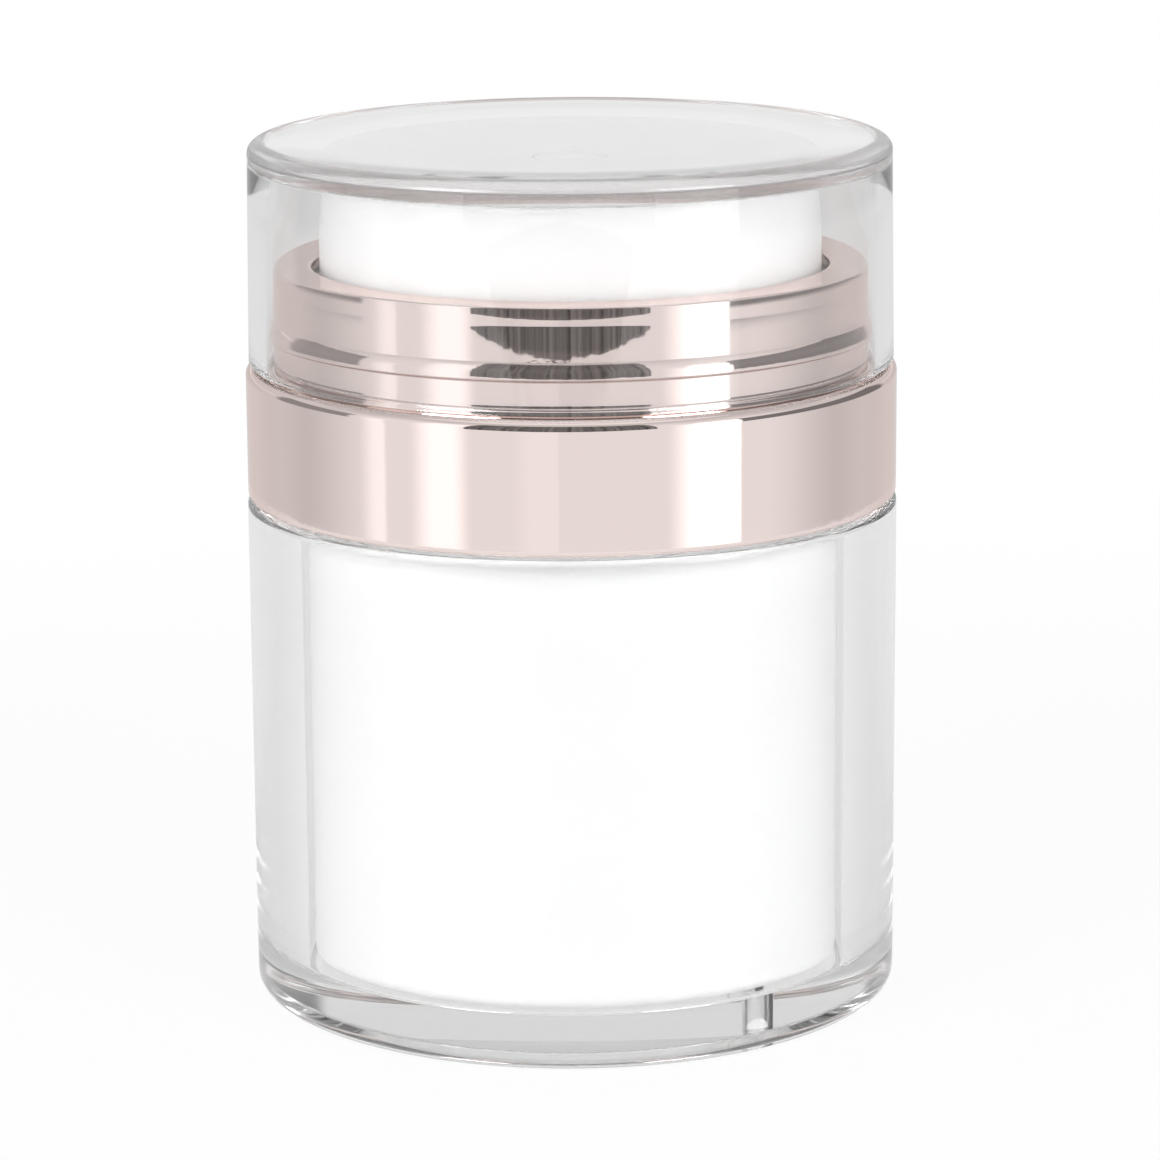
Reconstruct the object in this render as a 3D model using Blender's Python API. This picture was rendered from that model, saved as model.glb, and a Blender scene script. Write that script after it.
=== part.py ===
"""Airless cream jar with a press-top pump.

A thick clear jar carries a white inner cup. A plated collar screws onto the jar's neck and holds the
pump: a press head on a hollow stem, a return spring, a two-lip piston and a loose inlet valve in a short
cylinder. A follower piston rises in the cup as cream is drawn out, and a clear cap covers the head.

Metres, +Z up, front towards -Y. The origin is the middle of the foot that the jar stands on.
"""

import math

import bmesh
import bpy
from mathutils import Matrix, Vector

# Fits
CLEARANCE = 0.0003  # between neighbouring pieces, seated or sliding
THREAD_ROOM = 0.00075  # round the jar's neck, where the screw threads mesh
HEAD_GAP = 0.00065  # visible ring gap between the press head and the collar's hole
CUP_GAP = 0.0007  # air gap between the inner cup and the jar's bore
PLUG_GAP = 0.0004  # between the pump plate's plug and the cup
CAP_HEADROOM = 0.00085  # from the press head's top to the cap's ceiling

# Outer jar
JAR_RADIUS = 0.0308
JAR_HEIGHT = 0.0477  # foot to shoulder
JAR_WALL = 0.0049
JAR_BASE = 0.0042  # foot to the floor of the bore
FOOT_WIDTH = 0.0043
FOOT_RECESS = 0.0008
VENT_RADIUS = 0.0015
VENT_FROM_AXIS = 0.0229
VENT_BEARING = math.radians(41)  # from the front, towards the right

# Inner cup and the follower piston in it
CUP_WALL = 0.0012
CUP_FLOOR = 0.0013
CUP_AIR_HOLE = 0.0015
CUP_FLANGE = 0.001
FOLLOWER_HEIGHT = 0.013  # lower lip to upper lip
FOLLOWER_WALL = 0.0011
FOLLOWER_LIP = 0.0008  # how far each lip stands out
FOLLOWER_LIP_HEIGHT = 0.0009
FOLLOWER_LIP_SLOPE = 0.0014
FOLLOWER_WELL_ROOM = 0.0009  # round the pump housing

# Collar
BAND_SET_BACK = 0.00005  # of the band behind the jar's side
BAND_HEIGHT = 0.0124
COLLAR_WALL = 0.0013
LEDGE_WIDTH = 0.0027
RING_HEIGHT = 0.0098
RING_WALL = 0.0012
LIP_WIDTH = 0.0026
BEAD_PROUD = 0.0004
BEAD_HEIGHT = 0.00175
BEAD_ABOVE_LEDGE = 0.0031

# Neck ring, gasket and pump plate
NECK_RING_WALL = 0.00105
NECK_RING_FLANGE = 0.001
NECK_RING_REACH = 0.0023  # of its flange over the pump plate
GASKET_THICKNESS = 0.0008
PLATE_THICKNESS = 0.0012
PLUG_DEPTH = 0.0033
PLUG_WALL = 0.0012
HUB_WALL = 0.0015
HUB_RISE = 0.0005
HUB_DEPTH = 0.0017
RIB_COUNT = 6
RIB_THICKNESS = 0.001
RIB_HEIGHT = 0.0015

# Pump
STROKE = 0.0045
BORE_RADIUS = 0.005
HOUSING_WALL = 0.001
HOUSING_FLANGE_WIDTH = 0.0024
HOUSING_FLANGE = 0.001
HOUSING_FLOOR = 0.0012
INLET_RADIUS = 0.0018
SEAL_THICKNESS = 0.0006
CAP_DISC = 0.001  # thickness of the housing cap's disc
CAP_SKIRT_WALL = 0.0009
CAP_SKIRT_DEPTH = 0.0029
GUIDE_DEPTH = 0.0011  # of the housing cap's stem guide, into the cylinder
PISTON_HEIGHT = 0.004
PISTON_SLIP = 0.0008  # lost motion of the piston on its stem
SEAT_HEIGHT = 0.0016
SEAT_RADIUS = 0.0036
SEAT_SHANK = 0.0016  # length of its shank in the stem
VALVE_THICKNESS = 0.0008
VALVE_LIFT = 0.0006
RETAINER_HEIGHT = 0.0005
RETAINER_WIDTH = 0.001
STEM_RADIUS = 0.0024
STEM_WALL = 0.001
STEM_PORT_RADIUS = 0.0005

# Press head
HEAD_RISE = 0.00815  # of its top above the collar
HEAD_WALL = 0.0013
HEAD_TOP = 0.0012
HEAD_DISH = 0.0008
HEAD_OVERTRAVEL = 0.0007  # left under its skirt when it is fully down
HEAD_FLANGE = 0.0015
HEAD_FLANGE_GAP = 0.0007
CORE_DEPTH = 0.00455  # from the cover's underside at its edge to the disc's underside
CORE_DISC = 0.0012
SOCKET_WALL = 0.0016
SOCKET_CEILING = 0.0018
CHANNEL_RADIUS = 0.0016
OUTLET_POCKET = 0.0036
OUTLET_BOSS_WALL = 0.0016
OUTLET_VALVE_THICKNESS = 0.0008
ORIFICE_RADIUS = 0.0009

# Return spring
WIRE_RADIUS = 0.0004
SPRING_RADIUS = 0.0056
SPRING_TURNS = 6
END_TURN_GAP = 0.00045  # between the closely wound end turns
POINTS_PER_TURN = 10

# Cap
CAP_WALL = 0.0017
CAP_TOP = 0.0024
CAP_DRAFT = 0.00028

# Edge radii
JAR_FOOT_EDGE = 0.0013
JAR_SHOULDER_EDGE = 0.0006
JAR_FLOOR_EDGE = 0.0006
CUP_FOOT_EDGE = 0.0012
CUP_FLOOR_EDGE = 0.0008
CUP_RIM_EDGE = 0.0004
FOLLOWER_EDGE = 0.0005
BAND_FOOT_EDGE = 0.0006
BAND_EDGE = 0.0009
RING_EDGE = 0.0005
LIP_EDGE = 0.0004
BEAD_EDGE = 0.0005
HOUSING_EDGE = 0.0006
HEAD_EDGE = 0.0007
HEAD_INNER_EDGE = 0.0005
CAP_EDGE = 0.0017
CAP_INNER_EDGE = 0.0004
BROKEN_EDGE = 0.0003  # on the small and hidden corners

# Facets
WIDE_SEGMENTS = 48  # round the pieces that show
INNER_SEGMENTS = 32  # round the wide pieces inside
NARROW_SEGMENTS = 20  # round the pump's pieces
FILLET_FACET = 0.0004  # of fillet radius for each facet of its arc
MOST_FILLET_FACETS = 4
SMOOTH_BELOW = math.radians(40)

# Radii that follow, from the outside in
bore_radius = JAR_RADIUS - JAR_WALL
band_radius = JAR_RADIUS - BAND_SET_BACK
band_inner = band_radius - COLLAR_WALL - BAND_SET_BACK
ring_radius = band_radius - LEDGE_WIDTH
ring_inner = ring_radius - RING_WALL
hole_radius = ring_inner - LIP_WIDTH
neck_ring_radius = band_inner - CLEARANCE
neck_ring_inner = neck_ring_radius - NECK_RING_WALL
neck_radius = neck_ring_inner - THREAD_ROOM
cup_radius = bore_radius - CUP_GAP
cup_inner = cup_radius - CUP_WALL
plug_radius = cup_inner - PLUG_GAP
head_radius = hole_radius - HEAD_GAP
head_inner = head_radius - HEAD_WALL
housing_radius = BORE_RADIUS + HOUSING_WALL
hub_inner = housing_radius + CLEARANCE
hub_radius = hub_inner + HUB_WALL
flange_radius = housing_radius + HOUSING_FLANGE_WIDTH
stem_hole = STEM_RADIUS + CLEARANCE
socket_radius = stem_hole + SOCKET_WALL
cap_inner = ring_radius + BEAD_PROUD + CLEARANCE

# Heights that follow: the collar on the shoulder, then the stack under its ledge
band_bottom = JAR_HEIGHT + CLEARANCE
ledge = band_bottom + BAND_HEIGHT
ring_top = ledge + RING_HEIGHT
lip_underside = ring_top - COLLAR_WALL
neck_ring_top = ledge - COLLAR_WALL - CLEARANCE
plate_top = neck_ring_top - NECK_RING_FLANGE - CLEARANCE
plate_bottom = plate_top - PLATE_THICKNESS
gasket_top = plate_bottom - CLEARANCE
cup_top = gasket_top - GASKET_THICKNESS - CLEARANCE
neck_top = cup_top - CUP_FLANGE - CLEARANCE
plug_bottom = plate_bottom - PLUG_DEPTH
cup_bottom = JAR_BASE + CLEARANCE
cup_floor = cup_bottom + CUP_FLOOR

# Heights in the pump, from the hub up and from the stem guide down
hub_top = plate_top + HUB_RISE
seal_bottom = hub_top + CLEARANCE
housing_flange_bottom = seal_bottom + SEAL_THICKNESS + CLEARANCE
cap_disc_bottom = housing_flange_bottom + HOUSING_FLANGE + CLEARANCE
housing_cap_top = cap_disc_bottom + CAP_DISC
guide_bottom = cap_disc_bottom - GUIDE_DEPTH
piston_top = guide_bottom - CLEARANCE - PISTON_SLIP
piston_bottom = piston_top - PISTON_HEIGHT
seat_top = piston_bottom - CLEARANCE
seat_bottom = seat_top - SEAT_HEIGHT
valve_top = seat_bottom - STROKE - CLEARANCE - VALVE_LIFT
valve_bottom = valve_top - VALVE_THICKNESS
housing_floor = valve_bottom - CLEARANCE
housing_bottom = housing_floor - HOUSING_FLOOR
retainer_bottom = valve_top + VALVE_LIFT + CLEARANCE

# Heights in the press head
head_top = ring_top + HEAD_RISE
head_underside = head_top - HEAD_TOP
skirt_bottom = neck_ring_top + STROKE + HEAD_OVERTRAVEL
head_flange_top = lip_underside - CLEARANCE
core_underside = head_underside - CORE_DEPTH
socket_bottom = housing_cap_top + STROKE + CLEARANCE
socket_ceiling = core_underside - SOCKET_CEILING
stem_top = socket_ceiling - CLEARANCE
core_top = core_underside + CORE_DISC
dish_floor = head_top - HEAD_DISH
boss_top = dish_floor - HEAD_TOP - CLEARANCE
pocket_floor = core_top + CLEARANCE
outlet_valve_bottom = pocket_floor + CLEARANCE
nozzle_bottom = outlet_valve_bottom + OUTLET_VALVE_THICKNESS + CLEARANCE

# Heights of the follower, which ends its travel against the plug and the pump housing
follower_bottom = cup_floor + CLEARANCE
follower_top = follower_bottom + FOLLOWER_HEIGHT
follower_travel = plug_bottom - CLEARANCE - follower_top
well_floor = housing_bottom - CLEARANCE - follower_travel

# Heights of the cap, which rests on the ledge
cap_bottom = ledge + CLEARANCE
cap_ceiling = head_top + CAP_HEADROOM
cap_top = cap_ceiling + CAP_TOP


def clear_scene():
    for old in list(bpy.data.objects):
        bpy.data.objects.remove(old)


def finish(name, colour, roughness, metallic=0.0, transmission=0.0):
    """A Principled material with one colour for the whole piece."""
    material = bpy.data.materials.new(name)
    material.use_nodes = True
    shader = material.node_tree.nodes["Principled BSDF"]
    shader.inputs["Base Color"].default_value = (*colour, 1.0)
    shader.inputs["Roughness"].default_value = roughness
    shader.inputs["Metallic"].default_value = metallic
    shader.inputs["Transmission Weight"].default_value = transmission
    material.diffuse_color = (*colour, 1.0)
    return material


def clear_acrylic(name):
    return finish(name, (0.93, 0.94, 0.95), 0.03, transmission=1.0)


def white_polypropylene(name):
    return finish(name, (0.90, 0.90, 0.89), 0.28)


def rose_gold_plate(name):
    return finish(name, (0.80, 0.62, 0.56), 0.12, metallic=1.0)


def soft_seal(name):
    return finish(name, (0.78, 0.79, 0.78), 0.55)


def spring_steel(name):
    return finish(name, (0.62, 0.62, 0.63), 0.25, metallic=1.0)


def rounded(corners):
    """The closed outline through (radius, height, fillet) corners, each fillet drawn as a tangent arc.

    A larger fillet gets more facets, and the smallest are plain chamfers.
    """
    outline = []
    for i, (radius, height, fillet) in enumerate(corners):
        here = Vector((radius, height))
        if not fillet:
            outline.append(here)
            continue
        before = (Vector(corners[i - 1][:2]) - here).normalized()
        after = (Vector(corners[(i + 1) % len(corners)][:2]) - here).normalized()
        half = before.angle(after) / 2
        centre = here + (before + after).normalized() * (fillet / math.sin(half))
        start = here + before * (fillet / math.tan(half)) - centre
        sweep = math.copysign(math.pi - 2 * half, before.cross(after))
        facets = max(1, min(MOST_FILLET_FACETS, round(fillet / FILLET_FACET)))
        for step in range(facets + 1):
            turn = Matrix.Rotation(-sweep * step / facets, 2)
            outline.append(centre + turn @ start)
    return outline


def turned(name, corners, segments, material):
    """A piece turned about the jar's axis from a closed outline. Its origin is on the axis, at its foot."""
    outline = rounded(corners)
    foot = min(point.y for point in outline)
    shape = bmesh.new()
    verts = [shape.verts.new((point.x, 0, point.y - foot)) for point in outline]
    for i, vert in enumerate(verts):
        if vert.co.x or verts[i - 1].co.x:
            shape.edges.new((verts[i - 1], vert))
    bmesh.ops.spin(
        shape,
        geom=shape.verts[:] + shape.edges[:],
        cent=(0, 0, 0),
        axis=(0, 0, 1),
        angle=math.tau,
        steps=segments,
        use_merge=True,
    )
    bmesh.ops.remove_doubles(shape, verts=shape.verts[:], dist=1e-7)
    bmesh.ops.recalc_face_normals(shape, faces=shape.faces[:])
    if shape.calc_volume(signed=True) < 0:
        bmesh.ops.reverse_faces(shape, faces=shape.faces[:])
    return placed(name, shape, material, foot)


def placed(name, shape, material, foot=0.0):
    """The object of a bmesh, smooth on its round faces, standing at the height of its foot."""
    mesh = bpy.data.meshes.new(name)
    shape.to_mesh(mesh)
    shape.free()
    mesh.shade_smooth()
    mesh.set_sharp_from_angle(angle=SMOOTH_BELOW)
    obj = bpy.data.objects.new(name, mesh)
    obj.location.z = foot
    bpy.context.scene.collection.objects.link(obj)
    if material:
        mesh.materials.append(material)
    return obj


def block(shape, centre, size, bearing=0.0):
    """Adds a box to a bmesh, turned about the jar's axis by its bearing."""
    turn = Matrix.Rotation(bearing, 4, "Z")
    bmesh.ops.create_cube(shape, size=1, matrix=turn @ Matrix.Translation(centre) @ Matrix.Diagonal((*size, 1)))


def rod(name, radius, length, matrix):
    """A round cutter of that length, centred where the matrix puts it."""
    shape = bmesh.new()
    bmesh.ops.create_cone(
        shape,
        cap_ends=True,
        segments=NARROW_SEGMENTS // 2,
        radius1=radius,
        radius2=radius,
        depth=length,
        matrix=matrix,
    )
    return placed(name, shape, None)


def combine(piece, helper, operation):
    """Cuts the helper from the piece or joins it on, and keeps the helper as a wire guide."""
    modifier = piece.modifiers.new(helper.name, "BOOLEAN")
    modifier.operation = operation
    modifier.solver = "EXACT"
    modifier.object = helper
    helper.hide_render = True
    helper.display_type = "WIRE"


def body(name, height, *pieces):
    """An empty on the axis that carries the pieces of one rigid body."""
    empty = bpy.data.objects.new(name, None)
    empty.location.z = height
    bpy.context.scene.collection.objects.link(empty)
    for piece in pieces:
        piece.parent = empty
        piece.location.z -= height
    return empty


def make_outer_jar():
    foot_inner = JAR_RADIUS - FOOT_WIDTH
    jar = turned(
        "outer_jar",
        [
            (0, JAR_BASE, 0),
            (0, FOOT_RECESS, 0),
            (foot_inner - FOOT_RECESS, FOOT_RECESS, BROKEN_EDGE),
            (foot_inner, 0, 0),
            (JAR_RADIUS, 0, JAR_FOOT_EDGE),
            (JAR_RADIUS, JAR_HEIGHT, JAR_SHOULDER_EDGE),
            (neck_radius, JAR_HEIGHT, 0),
            (neck_radius, neck_top, BROKEN_EDGE),
            (bore_radius, neck_top, BROKEN_EDGE),
            (bore_radius, JAR_BASE, JAR_FLOOR_EDGE),
        ],
        WIDE_SEGMENTS,
        clear_acrylic("jar acrylic"),
    )
    across = VENT_FROM_AXIS * math.sin(VENT_BEARING)
    front = -VENT_FROM_AXIS * math.cos(VENT_BEARING)
    vent = rod("vent_cutter", VENT_RADIUS, 3 * JAR_BASE, Matrix.Translation((across, front, JAR_BASE / 2)))
    combine(jar, vent, "DIFFERENCE")
    return jar


def make_inner_cup():
    return turned(
        "inner_cup",
        [
            (CUP_AIR_HOLE, cup_bottom, 0),
            (cup_radius, cup_bottom, CUP_FOOT_EDGE),
            (cup_radius, cup_top - CUP_FLANGE, 0),
            (neck_radius, cup_top - CUP_FLANGE, 0),
            (neck_radius, cup_top, BROKEN_EDGE),
            (cup_inner, cup_top, CUP_RIM_EDGE),
            (cup_inner, cup_floor, CUP_FLOOR_EDGE),
            (CUP_AIR_HOLE, cup_floor, 0),
        ],
        WIDE_SEGMENTS,
        white_polypropylene("cup polypropylene"),
    )


def make_follower_piston():
    lip = cup_inner - CLEARANCE
    waist = lip - FOLLOWER_LIP
    skirt_inner = waist - FOLLOWER_WALL
    well_inner = housing_radius + FOLLOWER_WELL_ROOM
    crown = follower_top + PLUG_WALL
    crown_radius = plug_radius - PLUG_WALL - 2 * PLUG_GAP
    return turned(
        "follower_piston",
        [
            (0, well_floor, 0),
            (0, well_floor - FOLLOWER_WALL, 0),
            (well_inner + FOLLOWER_WALL, well_floor - FOLLOWER_WALL, FOLLOWER_EDGE),
            (well_inner + FOLLOWER_WALL, crown - FOLLOWER_WALL, 0),
            (skirt_inner - FOLLOWER_LIP_SLOPE, crown - FOLLOWER_WALL, 0),
            (skirt_inner, crown - FOLLOWER_WALL - FOLLOWER_LIP_SLOPE, 0),
            (skirt_inner, follower_bottom, 0),
            (lip, follower_bottom, 0),
            (lip, follower_bottom + FOLLOWER_LIP_HEIGHT, 0),
            (waist, follower_bottom + FOLLOWER_LIP_HEIGHT + FOLLOWER_LIP_SLOPE, 0),
            (waist, follower_top - FOLLOWER_LIP_HEIGHT - FOLLOWER_LIP_SLOPE, 0),
            (lip, follower_top - FOLLOWER_LIP_HEIGHT, 0),
            (lip, follower_top, 0),
            (crown_radius + FOLLOWER_LIP, follower_top, 0),
            (crown_radius, crown, 0),
            (well_inner, crown, FOLLOWER_EDGE),
            (well_inner, well_floor, 0),
        ],
        INNER_SEGMENTS,
        finish("follower polyethylene", (0.86, 0.87, 0.86), 0.45),
    )


def make_collar():
    bead_bottom = ledge + BEAD_ABOVE_LEDGE
    bead = ring_radius + BEAD_PROUD
    return turned(
        "collar",
        [
            (band_radius, band_bottom, BAND_FOOT_EDGE),
            (band_radius, ledge, BAND_EDGE),
            (ring_radius, ledge, BROKEN_EDGE),
            (ring_radius, bead_bottom, 0),
            (bead, bead_bottom + BEAD_PROUD, BEAD_EDGE),
            (bead, bead_bottom + BEAD_HEIGHT - BEAD_PROUD, 0),
            (ring_radius, bead_bottom + BEAD_HEIGHT, 0),
            (ring_radius, ring_top, RING_EDGE),
            (hole_radius, ring_top, LIP_EDGE),
            (hole_radius, lip_underside, 0),
            (ring_inner, lip_underside, 0),
            (ring_inner, ledge - COLLAR_WALL, 0),
            (band_inner, ledge - COLLAR_WALL, BROKEN_EDGE),
            (band_inner, band_bottom, 0),
        ],
        WIDE_SEGMENTS,
        rose_gold_plate("collar rose gold plate"),
    )


def make_neck_ring():
    skirt_end = band_bottom + 2 * CLEARANCE
    reach = neck_radius - NECK_RING_REACH
    return turned(
        "neck_ring",
        [
            (neck_ring_radius, skirt_end, 0),
            (neck_ring_radius, neck_ring_top, BROKEN_EDGE),
            (reach, neck_ring_top, 0),
            (reach, neck_ring_top - NECK_RING_FLANGE, 0),
            (neck_ring_inner, neck_ring_top - NECK_RING_FLANGE, 0),
            (neck_ring_inner, skirt_end, 0),
        ],
        INNER_SEGMENTS,
        white_polypropylene("neck ring polypropylene"),
    )


def make_neck_gasket():
    return turned(
        "neck_gasket",
        [
            (neck_radius, gasket_top - GASKET_THICKNESS, 0),
            (neck_radius, gasket_top, 0),
            (cup_inner + PLUG_GAP, gasket_top, 0),
            (cup_inner + PLUG_GAP, gasket_top - GASKET_THICKNESS, 0),
        ],
        INNER_SEGMENTS,
        soft_seal("gasket foam"),
    )


def make_pump_plate():
    """The closure plate, with its plug, hub, and radial ribs between the hub's cap and the press head."""
    web_bottom = plate_bottom - HUB_RISE
    web_top = plate_top - HUB_RISE
    plate = turned(
        "pump_plate",
        [
            (hub_inner, web_bottom - HUB_DEPTH, 0),
            (hub_radius, web_bottom - HUB_DEPTH, BROKEN_EDGE),
            (hub_radius, web_bottom, 0),
            (plug_radius - PLUG_WALL, web_bottom, 0),
            (plug_radius - PLUG_WALL, plug_bottom, 0),
            (plug_radius, plug_bottom, BROKEN_EDGE),
            (plug_radius, plate_bottom, 0),
            (neck_radius, plate_bottom, 0),
            (neck_radius, plate_top, 0),
            (plug_radius, plate_top, 0),
            (plug_radius - HUB_RISE, web_top, 0),
            (hub_radius, web_top, 0),
            (hub_radius, hub_top - HUB_RISE, 0),
            (flange_radius, hub_top - HUB_RISE, 0),
            (flange_radius, hub_top, BROKEN_EDGE),
            (hub_inner, hub_top, 0),
        ],
        INNER_SEGMENTS,
        white_polypropylene("pump plate polypropylene"),
    )
    start = flange_radius + CAP_SKIRT_WALL + 3 * CLEARANCE
    end = plug_radius - HUB_RISE - CLEARANCE
    height = RIB_HEIGHT + PLATE_THICKNESS / 2
    centre = Vector(((start + end) / 2, 0, web_top + RIB_HEIGHT - height / 2))
    ribs = bmesh.new()
    for i in range(RIB_COUNT):
        block(ribs, centre, (end - start, RIB_THICKNESS, height), math.tau * i / RIB_COUNT)
    combine(plate, placed("plate_ribs", ribs, None), "UNION")
    return plate


def make_housing_seal():
    return turned(
        "housing_seal",
        [
            (flange_radius - CLEARANCE, seal_bottom, SEAL_THICKNESS / 3),
            (flange_radius - CLEARANCE, seal_bottom + SEAL_THICKNESS, SEAL_THICKNESS / 3),
            (hub_inner, seal_bottom + SEAL_THICKNESS, 0),
            (hub_inner, seal_bottom, 0),
        ],
        NARROW_SEGMENTS,
        soft_seal("housing seal rubber"),
    )


def make_pump_housing():
    """The cylinder: a flange at its mouth, a step that keeps the valve in, and the inlet in its floor."""
    retainer = BORE_RADIUS - RETAINER_WIDTH
    housing = turned(
        "pump_housing",
        [
            (INLET_RADIUS, housing_bottom, 0),
            (housing_radius, housing_bottom, HOUSING_EDGE),
            (housing_radius, housing_flange_bottom, 0),
            (flange_radius, housing_flange_bottom, 0),
            (flange_radius, housing_flange_bottom + HOUSING_FLANGE, 0),
            (BORE_RADIUS, housing_flange_bottom + HOUSING_FLANGE, 0),
            (BORE_RADIUS, retainer_bottom + RETAINER_HEIGHT, 0),
            (retainer, retainer_bottom + RETAINER_HEIGHT, 0),
            (retainer, retainer_bottom, 0),
            (BORE_RADIUS, retainer_bottom, 0),
            (BORE_RADIUS, housing_floor, 0),
            (INLET_RADIUS, housing_floor, 0),
        ],
        NARROW_SEGMENTS,
        white_polypropylene("housing polypropylene"),
    )
    gaps = bmesh.new()
    across = 2 * BORE_RADIUS + HOUSING_WALL / 2
    middle = (0, 0, retainer_bottom + RETAINER_HEIGHT / 2)
    for i in range(2):
        block(gaps, middle, (across, 2 * INLET_RADIUS, 2 * RETAINER_HEIGHT), math.pi * (i + 0.5) / 2)
    bmesh.ops.remove_doubles(gaps, verts=gaps.verts[:], dist=1e-7)
    combine(housing, placed("retainer_gaps", gaps, None), "DIFFERENCE")
    return housing


def make_housing_cap():
    skirt_inner = flange_radius + CLEARANCE
    skirt_bottom_height = housing_cap_top - CAP_DISC - CAP_SKIRT_DEPTH
    return turned(
        "housing_cap",
        [
            (stem_hole, guide_bottom, 0),
            (BORE_RADIUS - CLEARANCE, guide_bottom, BROKEN_EDGE),
            (BORE_RADIUS - CLEARANCE, cap_disc_bottom, 0),
            (skirt_inner, cap_disc_bottom, 0),
            (skirt_inner, skirt_bottom_height, 0),
            (skirt_inner + CAP_SKIRT_WALL, skirt_bottom_height, 0),
            (skirt_inner + CAP_SKIRT_WALL, housing_cap_top, BROKEN_EDGE),
            (stem_hole, housing_cap_top, 0),
        ],
        NARROW_SEGMENTS,
        white_polypropylene("housing cap polypropylene"),
    )


def make_inlet_valve():
    edge = BORE_RADIUS - 2 * CLEARANCE
    return turned(
        "inlet_valve",
        [(0, valve_top, 0), (0, valve_bottom, 0), (edge, valve_bottom, 0), (edge, valve_top, BROKEN_EDGE)],
        NARROW_SEGMENTS,
        soft_seal("inlet valve silicone"),
    )


def make_pump_piston():
    lip = BORE_RADIUS - CLEARANCE
    waist = lip - HOUSING_WALL
    lip_height = PISTON_HEIGHT / 5
    return turned(
        "pump_piston",
        [
            (stem_hole, piston_bottom, 0),
            (lip - CLEARANCE, piston_bottom, 0),
            (lip, piston_bottom + lip_height / 2, 0),
            (lip, piston_bottom + lip_height, 0),
            (waist, piston_bottom + 2 * lip_height, 0),
            (waist, piston_top - 2 * lip_height, 0),
            (lip, piston_top - lip_height, 0),
            (lip, piston_top - lip_height / 2, 0),
            (lip - CLEARANCE, piston_top, 0),
            (stem_hole, piston_top, 0),
        ],
        NARROW_SEGMENTS,
        finish("piston polyethylene", (0.84, 0.85, 0.85), 0.4),
    )


def make_piston_seat():
    shank = STEM_RADIUS - STEM_WALL - CLEARANCE
    return turned(
        "piston_seat",
        [
            (0, seat_top + SEAT_SHANK, 0),
            (0, seat_bottom, 0),
            (SEAT_RADIUS, seat_bottom, BROKEN_EDGE),
            (SEAT_RADIUS, seat_top, 0),
            (shank, seat_top, 0),
            (shank, seat_top + SEAT_SHANK, 0),
        ],
        NARROW_SEGMENTS,
        white_polypropylene("piston seat polypropylene"),
    )


def make_stem():
    """The hollow stem, with a cross hole above the seat's shank that the piston covers at rest."""
    stem = turned(
        "stem",
        [
            (STEM_RADIUS - STEM_WALL, piston_bottom, 0),
            (STEM_RADIUS, piston_bottom, 0),
            (STEM_RADIUS, stem_top, BROKEN_EDGE),
            (STEM_RADIUS - STEM_WALL, stem_top, 0),
        ],
        NARROW_SEGMENTS,
        white_polypropylene("stem polypropylene"),
    )
    height = seat_top + SEAT_SHANK + 2 * STEM_PORT_RADIUS
    across = Matrix.Translation((0, 0, height)) @ Matrix.Rotation(math.pi / 2, 4, "Y")
    combine(stem, rod("port_cutter", STEM_PORT_RADIUS, 4 * STEM_RADIUS, across), "DIFFERENCE")
    return stem


def make_press_cover():
    """The round press head: a dished top, and a skirt whose flange stops under the collar's lip."""
    flange = ring_inner - HEAD_FLANGE_GAP
    hole = OUTLET_POCKET
    rim = head_radius - 2 * HEAD_WALL
    middle = (rim + hole) / 2
    bend = HEAD_DISH * 3 / 4  # how far a parabola has dropped halfway in
    return turned(
        "press_cover",
        [
            (hole, dish_floor - HEAD_TOP, 0),
            (hole, dish_floor, BROKEN_EDGE),
            (middle, head_top - bend, 0),
            (rim, head_top, 0),
            (head_radius, head_top, HEAD_EDGE),
            (head_radius, head_flange_top, 0),
            (flange, head_flange_top, BROKEN_EDGE),
            (flange, head_flange_top - HEAD_FLANGE, 0),
            (head_radius, head_flange_top - HEAD_FLANGE, 0),
            (head_radius, skirt_bottom, 0),
            (head_inner, skirt_bottom, 0),
            (head_inner, head_underside, HEAD_INNER_EDGE),
            (middle, head_underside - bend, 0),
        ],
        WIDE_SEGMENTS,
        white_polypropylene("press head polypropylene"),
    )


def make_head_core():
    """The inner piece of the head: a disc that fills the skirt, the stem's socket and the outlet boss."""
    boss = OUTLET_POCKET + OUTLET_BOSS_WALL
    return turned(
        "head_core",
        [
            (stem_hole, socket_bottom, 0),
            (socket_radius, socket_bottom, BROKEN_EDGE),
            (socket_radius, core_underside, 0),
            (head_inner - CLEARANCE, core_underside, 0),
            (head_inner - CLEARANCE, core_top, 0),
            (boss, core_top, 0),
            (boss, boss_top, 0),
            (OUTLET_POCKET, boss_top, 0),
            (OUTLET_POCKET, pocket_floor, 0),
            (CHANNEL_RADIUS, pocket_floor, 0),
            (CHANNEL_RADIUS, socket_ceiling, 0),
            (stem_hole, socket_ceiling, 0),
        ],
        NARROW_SEGMENTS,
        white_polypropylene("head core polypropylene"),
    )


def make_outlet_valve():
    edge = OUTLET_POCKET - CLEARANCE
    top = outlet_valve_bottom + OUTLET_VALVE_THICKNESS
    return turned(
        "outlet_valve",
        [
            (ORIFICE_RADIUS / 3, outlet_valve_bottom, 0),
            (edge, outlet_valve_bottom, 0),
            (edge, top, 0),
            (ORIFICE_RADIUS, top, 0),
        ],
        NARROW_SEGMENTS,
        soft_seal("outlet valve silicone"),
    )


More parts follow.
